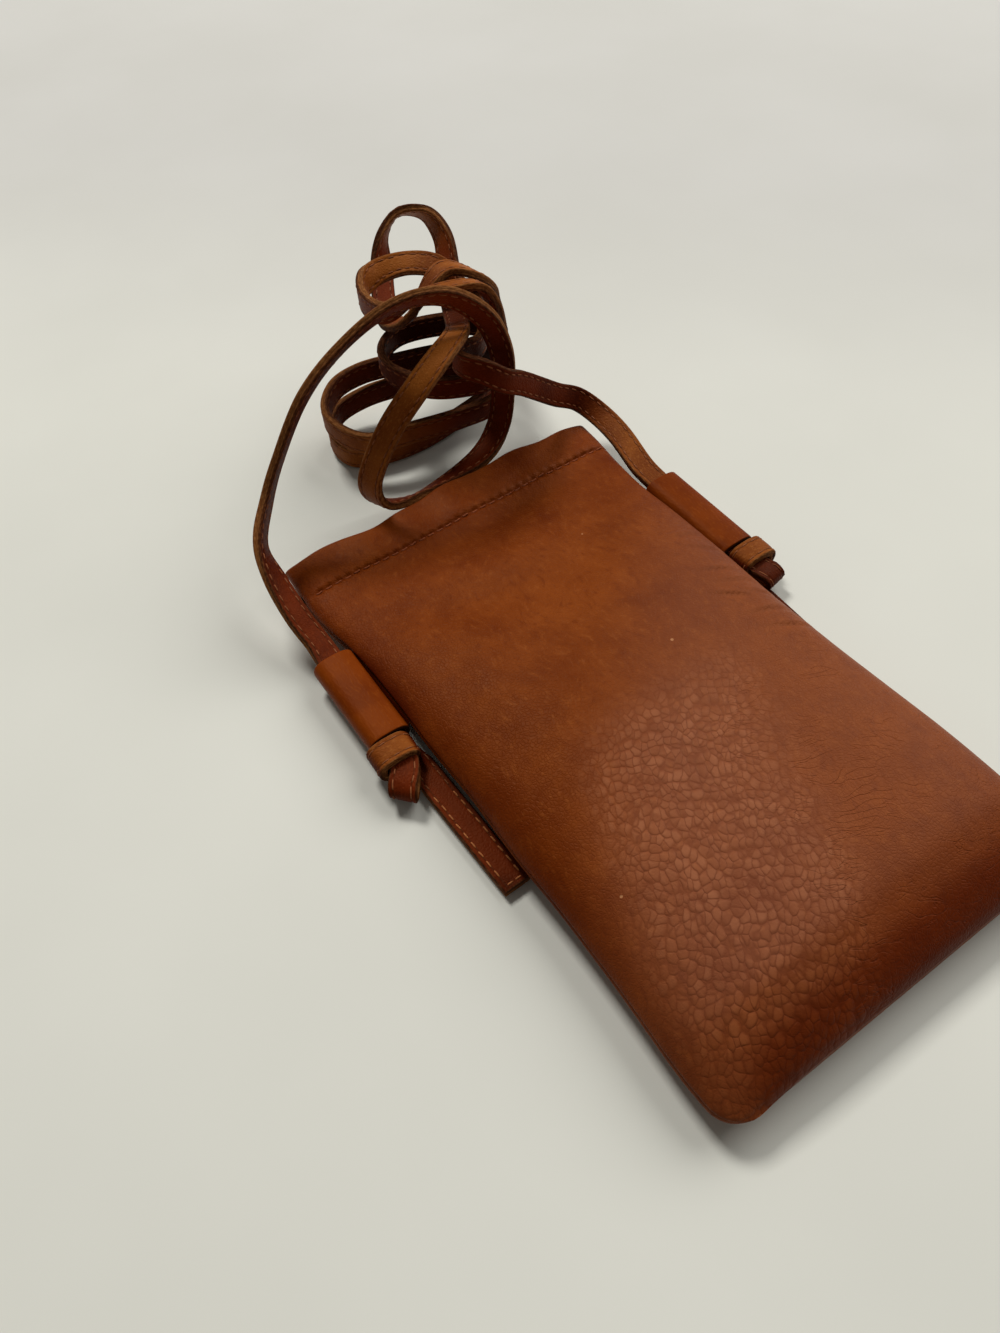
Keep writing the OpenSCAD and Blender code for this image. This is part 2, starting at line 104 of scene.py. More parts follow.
def make_piece(name, points, quads, corner_normals=None, uv=None, fans=(), values=None):
    """A mesh object from points in mm, quads and fans of triangles, with a normal and a uv for each corner."""
    mesh = bpy.data.meshes.new(name)
    groups = [quads, *fans]
    corners = np.concatenate([g.ravel() for g in groups])
    totals = np.concatenate([np.full(len(g), g.shape[1]) for g in groups])
    mesh.vertices.add(len(points))
    mesh.vertices.foreach_set("co", (points*MM).astype(np.float32).ravel())
    mesh.loops.add(len(corners))
    mesh.loops.foreach_set("vertex_index", corners.astype(np.int32))
    mesh.polygons.add(len(totals))
    mesh.polygons.foreach_set("loop_start", (np.cumsum(totals) - totals).astype(np.int32))
    mesh.update(calc_edges=True)
    mesh.polygons.foreach_set("use_smooth", np.ones(len(totals), bool))
    if uv is not None:
        mesh.uv_layers.new(name="leather").data.foreach_set("uv", (uv*MM).astype(np.float32).ravel())
    for key, value in (values or {}).items():
        mesh.attributes.new(key, "FLOAT", "POINT").data.foreach_set("value", value.astype(np.float32).ravel())
    if corner_normals is not None:
        mesh.normals_split_custom_set(corner_normals.astype(np.float32))
    print(name, len(points), "points,", len(totals), "faces, mm",
          np.round(points.min(0), 1), np.round(points.max(0), 1))
    return show(name, mesh)

def sheet_piece(name, outer, inner, normals, values=None):
    """A closed sheet: outer grid, inner grid with the opposite normals, and the cut edge joining their borders.
    The uv runs in mm along the rows and up the columns."""
    rows, cols = outer.shape[:2]
    index = np.arange(rows*cols).reshape(rows, cols)
    skin = grid_quads(index)
    flesh = skin[:, ::-1] + rows*cols
    border = np.concatenate([index[0, :], index[1:, -1], index[-1, -2::-1], index[-2:0:-1, 0]])
    after = np.roll(border, -1)
    rim = np.stack([after, border, border + rows*cols, after + rows*cols], -1)
    points = np.concatenate([outer.reshape(-1, 3), inner.reshape(-1, 3)])
    both = np.concatenate([normals.reshape(-1, 3), -normals.reshape(-1, 3)])
    corner_normals = np.concatenate([both[skin.ravel()], both[flesh.ravel()],
                                     np.repeat(face_normals(points, rim), 4, axis=0)])
    across = np.cumsum(np.linalg.norm(np.diff(outer, axis=1, prepend=outer[:, :1]), axis=2), axis=1)
    up = np.cumsum(np.linalg.norm(np.diff(outer, axis=0, prepend=outer[:1]), axis=2), axis=0)
    flat = np.stack([across, up], -1).reshape(-1, 2)
    quads = np.concatenate([skin, flesh, rim])
    uv = np.concatenate([flat, flat])[quads.ravel()]
    raw = {"flesh": np.concatenate([np.zeros(rows*cols), np.ones(rows*cols)])}
    raw.update({k: np.concatenate([v.ravel(), v.ravel()]) for k, v in (values or {}).items()})
    return make_piece(name, points, quads, corner_normals, uv, values=raw)

def tube_piece(name, rings, across, travel, values=None):
    """A tube with flat ends: rings of points, each closed on itself, joined row by row; across and travel are
    the uv in mm of a ring's corners and of the rows."""
    rows, cols = rings.shape[:2]
    index = np.arange(rows*cols).reshape(rows, cols)
    quads = grid_quads(np.pad(index, ((0, 0), (0, 1)), mode="wrap"))
    points = rings.reshape(-1, 3)
    normals = grid_normals(np.pad(rings, ((0, 0), (1, 1), (0, 0)), mode="wrap"))[:, 1:-1].reshape(-1, 3)
    ends = [index[:1, ::-1], index[-1:]]
    corner_normals = np.concatenate([normals[quads.ravel()]]
                                    + [np.repeat(face_normals(points, e), cols, axis=0) for e in ends])
    lanes = np.concatenate([across, across[:1] + (across[-1] - across[-2])])
    flat = np.stack(np.meshgrid(lanes, travel), -1).reshape(-1, 2)
    lane_quads = grid_quads(np.arange(len(flat)).reshape(rows, cols + 1))
    caps = [np.stack([lanes[e[0] % cols], np.full(cols, travel[k])], -1) for e, k in zip(ends, (0, -1))]
    uv = np.concatenate([flat[lane_quads.ravel()], *caps])
    return make_piece(name, points, quads, corner_normals, uv, fans=ends, values=values)

# %% [markdown]
# The strap is two leather strips sewn back to back, 7 mm wide and 2.3 mm thick, a little over a metre long. It
# lies in a heap of loops above the mouth. Its middle line follows the same listed points as the model, and
# a second list says which way its width lies there. A curve object would twist as it likes, so the section is
# carried along the line in numpy: the width is made square to the path at every step.

# %% The strap's route
route = np.array([
    (-55,54,6), (-55,61,7), (-56,69,11), (-56,79,16), (-54.2,89.3,20), (-47.4,97.2,24.8), (-39.8,101.3,33),
    (-27.7,104.4,45.8), (-13.4,106.8,53.5), (2.2,106.1,59.1), (15.9,102.8,58.5), (26.4,100.8,49.6),
    (31.3,99.7,37.6), (32,100.1,23.9), (28.6,98.8,11), (17.7,95,6), (-3,94.6,3.6), (-14.5,95,7), (-18.3,93.8,17.7),
    (-11,93,32), (-1,92,43), (10,95,48), (19,103,45), (27,115,38), (34,129,35), (40,140,39), (44,149,44),
    (43,157,48), (36,161,49), (29,159,45), (24,153,39), (18.6,143.6,34.9), (15.1,133.8,34), (15.6,124.3,39.7),
    (20.2,120.7,48.4), (27.6,121.5,52.5), (34.5,119.3,50.1), (40.7,120.8,43.4), (46.1,127.4,32.1),
    (50.4,131.4,20.6), (49,127,9), (40,121,4), (26,117,4), (10,115,4), (-3,117,4), (-11,122,4), (-12,131,5),
    (-6,138,7), (4,138,9), (14,134,11), (24,130,12), (34,126,13), (41,120,13), (41,111,13), (32,106,13),
    (19,107,13), (6,110,13), (-6,114,12), (-12,121,13), (-13,130,15), (-6,137,17), (4,138,18), (15,134,19),
    (26,129,20), (36,123,21), (39,114,22), (32,106,23), (21,106,25), (12,111,26), (6.9,122.1,26.5),
    (9.6,131.5,26.6), (19,136,27), (32.5,129.3,28.6), (41,116,32), (37.4,110.3,40.4), (34.2,108.2,47.9),
    (30,109,53), (20,113,53), (12,117,50), (7,124,46), (7,133,45), (11,140,45), (18,143,45), (26,140,46),
    (32,133.7,45.8), (34.4,126.4,42.3), (34.9,116.3,40.7), (30.8,108,38), (27.8,105.3,36.5), (22.4,103.6,37.6),
    (17.2,100.7,39.6), (16.9,96.1,40.1), (21.3,93,37.7), (27.3,91.8,32.6), (33.3,92.6,28.5), (40.3,93.5,22.5),
    (47.1,93.7,16.9), (54.1,92.5,12.6), (57.4,85.6,9.5), (57.1,75,8.5), (55.1,62.2,6.8), (55,54,6)], float)
width_way = np.array([
    (-1,0,0), (-.9,0,.4), (-.9,0,.4), (-.8,-.1,.6), (-.3,-.4,.9), (-.3,-.5,.8), (-.2,-.6,.9), (-.2,-.6,.9),
    (0,-.6,.8), (0,-.6,.8), (.3,-.6,.8), (.6,-.6,.4), (.7,-.7,.2), (.7,-.7,0), (.6,-.7,-.2), (.2,-.9,.1),
    (0,-.7,.7), (.2,-.9,.2), (.5,-.8,0), (.6,-.7,.1), (.7,-.6,0), (.7,-.7,0), (.8,-.5,0), (.9,-.4,0),
    (1,-.3,.1), (.7,-.5,.4), (.3,-.7,.6), (0,-.8,.6), (-.2,-.8,.6), (-.5,-.6,.6), (-.8,0,.3), (-.9,.3,.1),
    (-1,.1,0), (-.9,-.4,.1), (-.4,-.9,.1), (0,-1,.1), (.2,-1,0), (.3,-1,0), (.6,-.8,0), (.6,-.6,.4),
    *[(0,0,1)]*33, (0,.6,1), (0,1,.6), (0,1,-.1), (0,1,-.3), (0,1,-.3), (0,.8,-.6), (0,.3,-1), (0,0,-1),
    (-.1,-.3,-1), (0,-.8,-.6), (.1,-1,-.3), (-.3,-.9,-.4), (-.1,-.5,-.9), *[(0,0,-1)]*5, (-.1,-.1,-1),
    (-.1,-.1,-1), (-.1,-.1,-1), (-.1,-.2,-1), (-.2,-.3,-1), (-.3,-.5,-.9), (-.5,-.5,-.8), (-.8,-.3,-.5),
    (-1,-.1,-.3), (-1,0,-.1), (-1,0,0)], float)

def read_rows(at, gone, rows):
    """Rows that lie at the distances gone, read at the distances at."""
    return np.stack([np.interp(at, gone, rows[:, k]) for k in range(3)], 1)

def smooth_path(points, ways, step=1.2, share=24):
    """Catmull-Rom curve through the points, with the ways mixed evenly between them, read again at equal steps.
    Returns middle points, unit directions along, across (square to along), up (along x across), and distances."""
    ends = np.vstack([2*points[0] - points[1], points, 2*points[-1] - points[-2]])
    a, b, c, d = ends[:-3, None], ends[1:-2, None], ends[2:-1, None], ends[3:, None]
    t = (np.arange(share)/share)[None, :, None]
    curve = (2*b + (c - a)*t + (2*a - 5*b + 4*c - d)*t**2 + (3*b - a - 3*c + d)*t**3)/2
    curve = np.vstack([curve.reshape(-1, 3), points[-1]])
    w = unit(ways)
    mixed = np.vstack([(w[:-1, None]*(1 - t) + w[1:, None]*t).reshape(-1, 3), w[-1]])
    gone = np.concatenate([[0], np.cumsum(np.linalg.norm(np.diff(curve, axis=0), axis=1))])
    at = np.linspace(0, gone[-1], int(round(gone[-1]/step)) + 1)
    middle, across = read_rows(at, gone, curve), read_rows(at, gone, mixed)
    along = unit(np.gradient(middle, axis=0))
    weights = np.exp(-np.linspace(-2, 2, 9)**2); weights /= weights.sum()
    wide = np.pad(across, ((4, 4), (0, 0)), mode="edge")
    across = sum(weights[k]*wide[k:k + len(at)] for k in range(9))
    across = unit(across - (across*along).sum(1, keepdims=True)*along)
    return middle, along, across, np.cross(along, across), at

strap_line = smooth_path(route, width_way)
print("strap length", round(strap_line[4][-1], 1), "mm in", len(strap_line[4]), "steps")

# %% [markdown]
# The strap's section is drawn once: flat faces with a shallow furrow under each stitch row, rounded corners,
# and raw edges where the two layers meet in a fine line. Carried along the route it gives the whole strap.

# %% The strap
STRAP_W, STRAP_T, STITCH_LINE, FURROW = 7.0, 2.3, 2.25, .36

def strap_section():
    """Points round the section, anticlockwise from the right layer line. The columns are across, up, raw edge,
    stitch furrow, and face: 0 on the under face, 1/2 on the layer line and 1 on the upper face."""
    w, t = STRAP_W/2, STRAP_T/2
    quarter = np.array([(w - .16, 0, 1, 0, .5), (w, .14, 1, 0, .5), (w + .02, .6*t, 1, 0, 1),
                        (w - .08, .85*t, 1, 0, 1), (w - .3, .98*t, .6, 0, 1), (w - .65, t, 0, 0, 1),
                        (STITCH_LINE + FURROW, t - .01, 0, .15, 1), (STITCH_LINE, t - .16, 0, 1, 1),
                        (STITCH_LINE - FURROW, t - .01, 0, .15, 1), (1.2, t + .02, 0, 0, 1),
                        (.4, t + .03, 0, 0, 1)])
    top = np.concatenate([quarter, (quarter*(-1, 1, 1, 1, 1))[::-1]])
    under = (top*(-1, -1, 1, 1, -1) + (0, 0, 0, 0, 1))[1:-1]
    return np.concatenate([top, under])

def strap_piece(name, line, ruddy=0.0, cut=(0, -1)):
    """A flat stitched strap along a line, as rings middle + across*x + up*y. Its upper face is ruddy and its
    under face tan; ruddy, for each ring, moves both towards one or the other, and past the upper face into a
    painted near-black shade; cut lists the rings that are cut ends."""
    middle, along, across, up, at = line
    section = strap_section()
    x, y, edge, furrow, face = section.T[..., None]
    lanes = np.concatenate([[0], np.cumsum(np.linalg.norm(np.diff(section[:, :2], axis=0), axis=1))])
    raw = np.tile(edge[:, 0], (len(at), 1))
    raw[list(cut)] = 1
    face = np.clip(face[:, 0] + np.broadcast_to(ruddy, len(at))[:, None], 0, 2)
    return tube_piece(name, middle[:, None] + across[:, None]*x + up[:, None]*y, lanes, at,
                      values={"raw": raw, "furrow": np.tile(furrow[:, 0], len(at)), "ruddy": face})

# painted shade on the strap, by the route's rows: where the heap shades it, each face is pushed a step darker, the
# tan face to ruddy and the ruddy face to near black
painted_shade_rows = np.array([(0, 0), (22, 0), (23, .9), (25.5, .9), (27, 0), (28.5, .2), (29.5, 1), (31, 1), (32, .5),
                    (34, .4), (35, 0), (37, .1), (38, .9), (42, 1), (43, .8), (44.5, 0), (51, .3), (52, 1), (55, 1),
                    (56.5, .2), (57, 0), (61, .3), (63, 1), (72, 1), (74, .8), (76, 0), (84, 0), (85, .9), (86, .6),
                    (87, .4), (90, 1), (97, 1), (99, .15), (101, .1)])
row_spots = [strap_line[4][np.argmin(np.linalg.norm(strap_line[0] - spot, axis=1))] for spot in route]
painted_shade_run = np.interp(np.interp(strap_line[4], row_spots, np.arange(len(route))), *painted_shade_rows.T)
strap = strap_piece("carrying_strap", strap_line, painted_shade_run)

# %% [markdown]
# Each stitch is a tiny spindle of thread that rises from the furrow and sinks at both ends. One spindle is
# worked out and then laid hundreds of times as one array, bent with the strap. Thread could be painted on,
# but real bumps catch the light at the edges of the loops.

# %% Stitches
STITCH_PITCH = 3.0

def spindle(length, girth, rings=6, sides=6):
    """A closed spindle along x: radius girth/2*(1 - t^4)^0.5, its ends sinking; points and faces, poles last."""
    t = np.linspace(-1, 1, rings + 2)[1:-1]
    turn = np.arange(sides)*2*np.pi/sides
    r = girth/2*np.sqrt(1 - t**4)
    rise = girth*(.12 - .5*t**4)
    body = np.stack([np.repeat(t*length/2, sides), (r[:, None]*np.cos(turn)).ravel(),
                     (rise[:, None] + r[:, None]*np.sin(turn)).ravel()], 1)
    points = np.vstack([body, [-length/2, 0, -.4*girth], [length/2, 0, -.4*girth]])
    index = np.arange(rings*sides).reshape(rings, sides); nxt = np.roll(index, -1, axis=1)
    quads = np.stack([index[:-1], index[1:], nxt[1:], nxt[:-1]], -1).reshape(-1, 4)[:, ::-1]
    first, last = rings*sides, rings*sides + 1
    fans = np.concatenate([np.stack([np.full(sides, first), nxt[0], index[0]], -1),
                           np.stack([np.full(sides, last), index[-1], nxt[-1]], -1)])
    return points, quads, fans

def lay_stitches(name, places, length, girth):
    """One spindle for each place: places(dx, i) gives the spot at dx mm along stitch i, and which ways lie aside
    and up there."""
    points, quads, fans = spindle(length, girth)
    i = np.repeat(np.arange(places.count), len(points))
    local = np.tile(points, (places.count, 1))
    spot, side, up = places(local[:, 0], i)
    placed = spot + side*local[:, 1:2] + up*local[:, 2:3]
    shift = (np.arange(places.count)*len(points))[:, None, None]
    return make_piece(name, placed, (quads + shift).reshape(-1, 4), fans=[(fans + shift).reshape(-1, 3)])

class AlongStrap:
    """Stitch places on a strap: rows on both faces, slanting and straying a little as hand stitches do."""
    def __init__(self, line, start, stop, seed=1):
        chance = np.random.default_rng(seed)
        at = np.arange(start, stop, STITCH_PITCH)
        side, face = [g.ravel() for g in np.meshgrid((-1, 1), (-1, 1))]
        self.line = line
        self.at = (at[:, None] + STITCH_PITCH/4*side*face).ravel()
        self.side, self.face = np.tile(side, len(at)), np.tile(face, len(at))
        self.count = len(self.at)
        self.stray = chance.normal(0, .07, self.count)
        self.slant = .05 + chance.normal(0, .03, self.count)
    def __call__(self, dx, i):
        middle, along, across, up, gone = self.line
        s, face = self.at[i] + dx, self.face[i][:, None]
        wide, high = unit(read_rows(s, gone, across)), unit(read_rows(s, gone, up))*face
        off = self.side[i]*STITCH_LINE + self.stray[i] + self.slant[i]*dx
        return read_rows(s, gone, middle) + wide*off[:, None] + high*(STRAP_T/2 - .1), wide*face, high

class AcrossStrap:
    """The short row that joins the two long ones near the strap's cut end, on both faces."""
    def __init__(self, line, at):
        self.line, self.at, self.count = line, at, 4
        self.off, self.face = np.array((-1.1, 1.1, -1.1, 1.1)), np.array((1, 1, -1, -1))
    def __call__(self, dx, i):
        middle, along, across, up, gone = self.line
        k = np.searchsorted(gone, self.at)
        high = up[k]*self.face[i][:, None]
        spot = middle[k] + across[k]*(self.off[i] + dx)[:, None] + high*(STRAP_T/2 - .04)
        return spot, np.cross(high, np.broadcast_to(across[k], high.shape)), high

strap_stitches = lay_stitches("strap_stitches", AlongStrap(strap_line, 3, strap_line[4][-1] - 3), 2.2, .42)
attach(strap, "pouch"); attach(strap_stitches, "pouch")
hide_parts("strap_left_run", "strap_bundle", "strap_right_run")
strap_line[4][-1]*MM
strap_line[0]*MM

# %% [markdown]
# The pouch is two panels of hide, sewn face to face and then turned, so its side edges are soft rolls meeting in
# a crease. A panel is a function of two shares: v from the bottom seam to the mouth, and u across, from -1 at the
# left seam to 1 at the right. The tables are the model's, with the sides drawn separately, because the filled
# pouch leans a little to the right.

# %% The pouch's tables
LENGTH, MOUTH_H, FULL_H, SEAM_H, CORNER_R, BACK_LIFT = 180.0, 8.0, 20.0, 8.0, 7.0, 0.6
HIDE_T, FOLD_T, HEM, STITCH_Y, SEAM_PART = 1.2, 0.8, 15.5, 76.0, .03
MOUTH_MID = (MOUTH_H + BACK_LIFT)/2
left_half = [(0, 49), (.08, 49.6), (.19, 48.6), (.3, 48.3), (.39, 48.8), (.5, 48.2), (.54, 48.6), (.6, 48.9),
             (.64, 48.8), (.72, 48.8), (.8, 49.2), (.85, 50.6), (.9, 51.2), (.94, 50.8), (1, 50)]
right_half = [(0, 50.5), (.1, 51.8), (.19, 51), (.27, 49.8), (.38, 48.2), (.49, 47.6), (.6, 48.4), (.72, 48.9),
              (.8, 49), (.88, 51), (.94, 52.6), (1, 53.2)]
crown = [(0, 0), (.01, .27), (.025, .46), (.045, .63), (.07, .78), (.11, .9), (.16, .97), (.25, 1), (.34, .99),
         (.43, .95), (.52, .86), (.61, .72), (.69, .54), (.76, .35), (.82, .18), (.87, .06), (.91, 0), (1, 0)]
back_rise = [(0, 1), (.004, .72), (.012, .46), (.025, .24), (.045, .1), (.07, .03), (.11, 0), (1, 0)]
back_stand = [(0, 0), (.76, 0), (.87, .7), (.91, 1), (1, 1)]
seam_drop = [(0, 0), (.69, 0), (.76, .2), (.82, .55), (.87, .85), (.91, 1), (1, 1)]
front_power = [(0, 4), (.11, 3.4), (.52, 3), (.69, 4), (.82, 8), (.91, 16), (1, 16)]
front_root = [(0, .6), (.69, .55), (.91, .4), (1, .4)]
back_power = [(0, 3.5), (.69, 3.5), (.91, 9), (1, 9)]
back_root = [(0, .5), (.69, .5), (.91, .4), (1, .4)]

def read(v, table):
    """A table's value at v, with its corners rounded: the mean of nine readings close around v."""
    table = np.array(table)
    reach = .35*np.minimum(np.minimum(v, 1 - v), .08)
    return np.mean([np.interp(v + k*reach, table[:, 0], table[:, 1]) for k in np.linspace(-1, 1, 9)], axis=0)

def share_at(y):
    """The share v of the panel's length at this y."""
    return (y + LENGTH/2)/LENGTH

def half_width(u, v):
    """Distance from the middle to the seam on u's side, less the round of the bottom corner."""
    short = np.maximum(0, CORNER_R - v*LENGTH)
    corner = CORNER_R - np.sqrt(CORNER_R**2 - short**2)
    return np.where(u < 0, read(v, left_half), read(v, right_half)) - corner

def seam_height(v):
    """The seam's height: level, then down to the middle of the flat mouth."""
    return SEAM_H + (MOUTH_MID - SEAM_H)*read(v, seam_drop)

# %% [markdown]
# The front's height is the seam's height plus a dome: (1 - |u|^p)^r across, with p and r from the tables. The
# photograph adds what no table has: the furrow of the hem's stitch line, small puckers between the stitches, soft
# dents where the leather sinks past the phone's top, and creases by the right edge. Each is a smooth hill or dent
# added to the dome, faded out at the seams so that the sewn edges stay where they are.

# %% The front and back skins
def hill(x, y, cx, cy, wide, deep, turn):
    """A smooth hill, exp(-(X/wide)^2 - (Y/deep)^2), in axes turned by some degrees."""
    a = np.radians(turn)
    along = (x - cx)*np.cos(a) + (y - cy)*np.sin(a)
    aside = (y - cy)*np.cos(a) - (x - cx)*np.sin(a)
    return np.exp(-(along/wide)**2 - (aside/deep)**2)

# hills and dents on the front: height, middle x and y, half widths along and aside, degrees turned
hills = [(-.2, 0, 71, 60, 5, 0), (-.7, 12, 69, 20, 4.5, 0), (.35, 18, 83, 7, 3.5, 0), (.3, -14, 82, 8, 3, 0),
         (1, 43, -8, 6, 24, 4), (-.9, -20, 46, 22, 9, -20), (-.7, 22, 40, 18, 8, 25), (.5, 2, 52, 16, 6, 0),
         (-.5, -36, 4, 7, 24, -6), (.45, -28, 22, 5, 16, -30)]
# creases by the right edge, each a groove with a ridge beyond it: middle x and y, degrees turned
for cx, cy, turn in ((40, 12, -28), (42, 6, -22), (43, 0, -30), (40, -6, -18), (44, 20, -35), (41, -13, -25),
                     (43, 28, -15), (36, 3, -38)):
    hills += [(-.4, cx, cy, 5, .7, turn), (.3, cx, cy + 1.4, 5.5, .8, turn)]

def hem_row(x):
    """1 where the hem's stitches run, fading to 0 at both ends of the row."""
    return np.clip((50.5 - np.abs(x - .8))/3, 0, 1)

def relief(x, y):
    """What the dome gets on top, in mm."""
    above = y - STITCH_Y
    furrow = -.75*np.exp(-(above/.75)**2) + .16*np.exp(-((above - 2.4)/1.5)**2)
    pucker = .17*np.cos(2*np.pi*x/STITCH_PITCH)*np.exp(-(above/1.7)**2)
    hem = .34*np.clip(above/3, 0, 1)*np.sin(.31*x + .9)*np.cos(.13*x + .3)
    return (furrow + pucker)*hem_row(x) + hem + sum(high*hill(x, y, *rest) for high, *rest in hills)

def front_skin(u, v):
    """The front: x = u*half, y along, z = seam + dome*(1 - |u|^p)^r + relief. Returns points, and the seam's z."""
    x, y = u*half_width(u, v), -LENGTH/2 + LENGTH*v
    rim = seam_height(v) + SEAM_PART
    floor = np.where(v < .5, rim, MOUTH_H + (SEAM_H + .15 - MOUTH_H)*(1 - read(v, seam_drop)))
    top = floor + (FULL_H - floor)*read(v, crown)
    full = np.clip(u, 0, 1)*np.clip(1.4 - 2*np.abs(v - .42), 0, 1)
    bulge = np.maximum(0, 1 - np.abs(u)**(read(v, front_power) + 2.6*full))**(read(v, front_root) - .14*full)
    calm = np.clip(bulge*1.6 - .25, 0, 1)*np.clip(v*25, 0, 1)
    z = rim + (top - rim)*bulge + relief(x, y)*calm
    return grid_points(x, y, z), rim

def back_skin(u, v):
    """The back: flat on the table in the middle, rolled up to the seam at the sides and the bottom."""
    x, y = u*half_width(u, v), -LENGTH/2 + LENGTH*v
    rim = seam_height(v) - SEAM_PART
    base = BACK_LIFT*read(v, back_stand) + rim*read(v, back_rise)
    bulge = np.maximum(0, 1 - np.maximum(0, (np.abs(u) - .5)/.5)**read(v, back_power))**read(v, back_root)
    return grid_points(x, y, rim - (rim - base)*bulge), rim

# %% [markdown]
# At the mouth the hide turns over the edge and runs back inside as a 15 mm hem, which is skived thinner. So each
# panel's grid goes on past its last row: half a turn of a small roll, then the fold. The fold's ends are cut away
# where the hinge pins stand. Each point also carries painted shading, painted light and shade for the leather's
# colour: high and lighter on the dome, low and darker as painted shade by the seams, in the crevice beside the
# left loop, on the bottom wall and in the stitch furrow.

# %% The panels with their hems
ROLL, ROLL_ROWS, FOLD_ROWS, FRONT_FOLD_Z, BACK_FOLD_Z, PIN_X, PIN_FOLD = 1.5, 12, 15, 4.85, 3.75, 42.8, .4

def mouth_wave(x):
    """How far the mouth's edge strays along y, in mm, as the gathered leather does."""
    return .9*np.sin(.085*x + .4) + .4*np.sin(.31*x) + .45*np.sin(.19*x + 2.2)

def gathered(y, wave):
    """y with the mouth's wave, which grows from nothing over the last 20 mm."""
    return y + np.clip((y - 70)/20, 0, 1)*wave

def panel_grid(skin, fold_z, rows=276, cols=128):
    """A panel's points, thickness and painted shading, its painted light and shade. Its rows are the skin's, dense
    at the bottom and by the stitches, then half a turn from the skin to the fold's height, then the fold."""
    last = 1 - ROLL/LENGTH
    fine = np.linspace(0, 1, 4000)
    dense = 1/np.sqrt(.0625 + 3*fine) + 4*np.exp(-((fine*last - share_at(STITCH_Y))/.012)**2)
    s = np.cumsum(dense) - dense[0]
    v = np.interp(np.linspace(0, s[-1], rows), s, fine)[:, None]*last
    side = np.sin(np.linspace(0, np.pi/2, cols))
    u = np.concatenate([-side[:0:-1], side])[None, :]
    body, rim = skin(u, v)
    x, y, z = np.moveaxis(body[-1:], -1, 0)
    lift = np.clip((z - rim[-1])/(z[0, cols - 1] - rim[-1]), 0, 1)
    inside = rim[-1] + (fold_z - rim[-1])*lift
    turn = np.linspace(0, np.pi, ROLL_ROWS + 1)[1:, None]
    notch = np.clip((PIN_X - np.abs(x))/.8, 0, 1)
    deep = np.linspace(0, 1, FOLD_ROWS + 1)[1:, None]*(PIN_FOLD + (HEM - ROLL - PIN_FOLD)*notch)
    roll = grid_points(x, y + ROLL*np.sin(turn), (z + inside)/2 + (z - inside)/2*np.cos(turn))
    outer = np.concatenate([body, roll, grid_points(x, y - deep, inside)])
    outer[..., 1] = gathered(outer[..., 1], mouth_wave(x))

    # the flesh side stays clear of itself in the flat mouth's ends and at the two bottom corners
    thin = np.repeat([HIDE_T, FOLD_T], [rows, ROLL_ROWS + FOLD_ROWS])[:, None]
    thin[rows:rows + ROLL_ROWS, 0] = np.linspace(HIDE_T, FOLD_T, ROLL_ROWS)
    in_mouth = np.arange(len(outer))[:, None] >= rows - 8
    room = np.where(in_mouth, .36*np.abs(z - inside) + .02, HIDE_T)
    corner = np.minimum(*(np.linalg.norm(outer - outer[0, k], axis=2) for k in (0, -1)))
    thick = np.minimum(np.minimum(thin, room), .05 + .4*corner)

    x, y = outer[:rows, :, 0], outer[:rows, :, 1]
    # painted light and shade for the colour: lighter on the dome, painted shade by the seams (most on the left), on
    # the bottom wall, in the crevice beside the left loop and in the hem's stitch furrow
    crest = np.where(u < 0, 1 - np.abs(u)**5, 1 - .35*np.abs(u)**8)*(.55 + .45*read(v, crown))
    crest = crest*np.clip(-.9 + v*17, -1, 1)
    crest -= .8*np.exp(-((v - .7)/.1)**4)*np.clip(-6*u - 4.9, 0, 1)
    crest -= .9*np.exp(-(v/.08)**2)*np.clip((x + 46)/14, 0, 1)
    crest -= .6*np.exp(-((y - STITCH_Y)/.45)**2)*hem_row(x)
    return outer, thick, np.concatenate([crest, np.repeat(crest[-1:], ROLL_ROWS + FOLD_ROWS, axis=0)])

def leather_panel(name, outer, thick, crest, keep=slice(None)):
    """One sheet of hide from the columns kept; near the seam its skin curls in by up to 0.75 mm."""
    inner = outer - grid_normals(outer)*thick[..., None]
    inner[..., 2] = np.maximum(inner[..., 2], .05)
    seam = seam_height(np.clip(share_at(outer[..., 1]), 0, 1))
    curl = .75*np.clip(1 - np.abs(outer[..., 2] - seam)/1.3, 0, 1)**2*np.clip(thick/HIDE_T*1.5 - .5, 0, 1)
    outer = outer.copy()
    outer[..., 0] -= np.sign(outer[..., 0])*curl*(np.abs(outer[..., 0]) > 30)
    outer[..., 1] += curl*(outer[..., 1] < -60)*np.clip(1 - np.abs(outer[..., 0])/44, 0, .5)*2
    skins = (part[:, keep] for part in (outer, inner, grid_normals(outer)))
    return sheet_piece(name, *skins, {"crest": crest[:, keep]})

front = panel_grid(front_skin, FRONT_FOLD_Z)
middle = front[0].shape[1]//2
front_left = leather_panel("front_leather_left", *front, slice(0, middle + 1))
front_right = leather_panel("front_leather_right", *front, slice(middle, None))
back = [part[:, ::-1] for part in panel_grid(back_skin, BACK_FOLD_Z, rows=150, cols=60)]
back_leather = leather_panel("back_leather", back[0], back[1], np.full(back[2].shape, .5))
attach(back_leather, "pouch"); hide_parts("back_panel", "back_hem")

def gusset(piece, side):
    """Bakes the piece's place into its mesh."""
    side*.0502
    side*.0452
    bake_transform(piece)

for piece, side in ((front_left, -1), (front_right, 1)):
    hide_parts("front_panel", "front_hem")
    gusset(piece, side)

# %% [markdown]
# The hem is held by one row of stitches on each side of the mouth, in thread of the leather's own colour. Each
# stitch lies in the furrow, so its height is read from the same skin function.

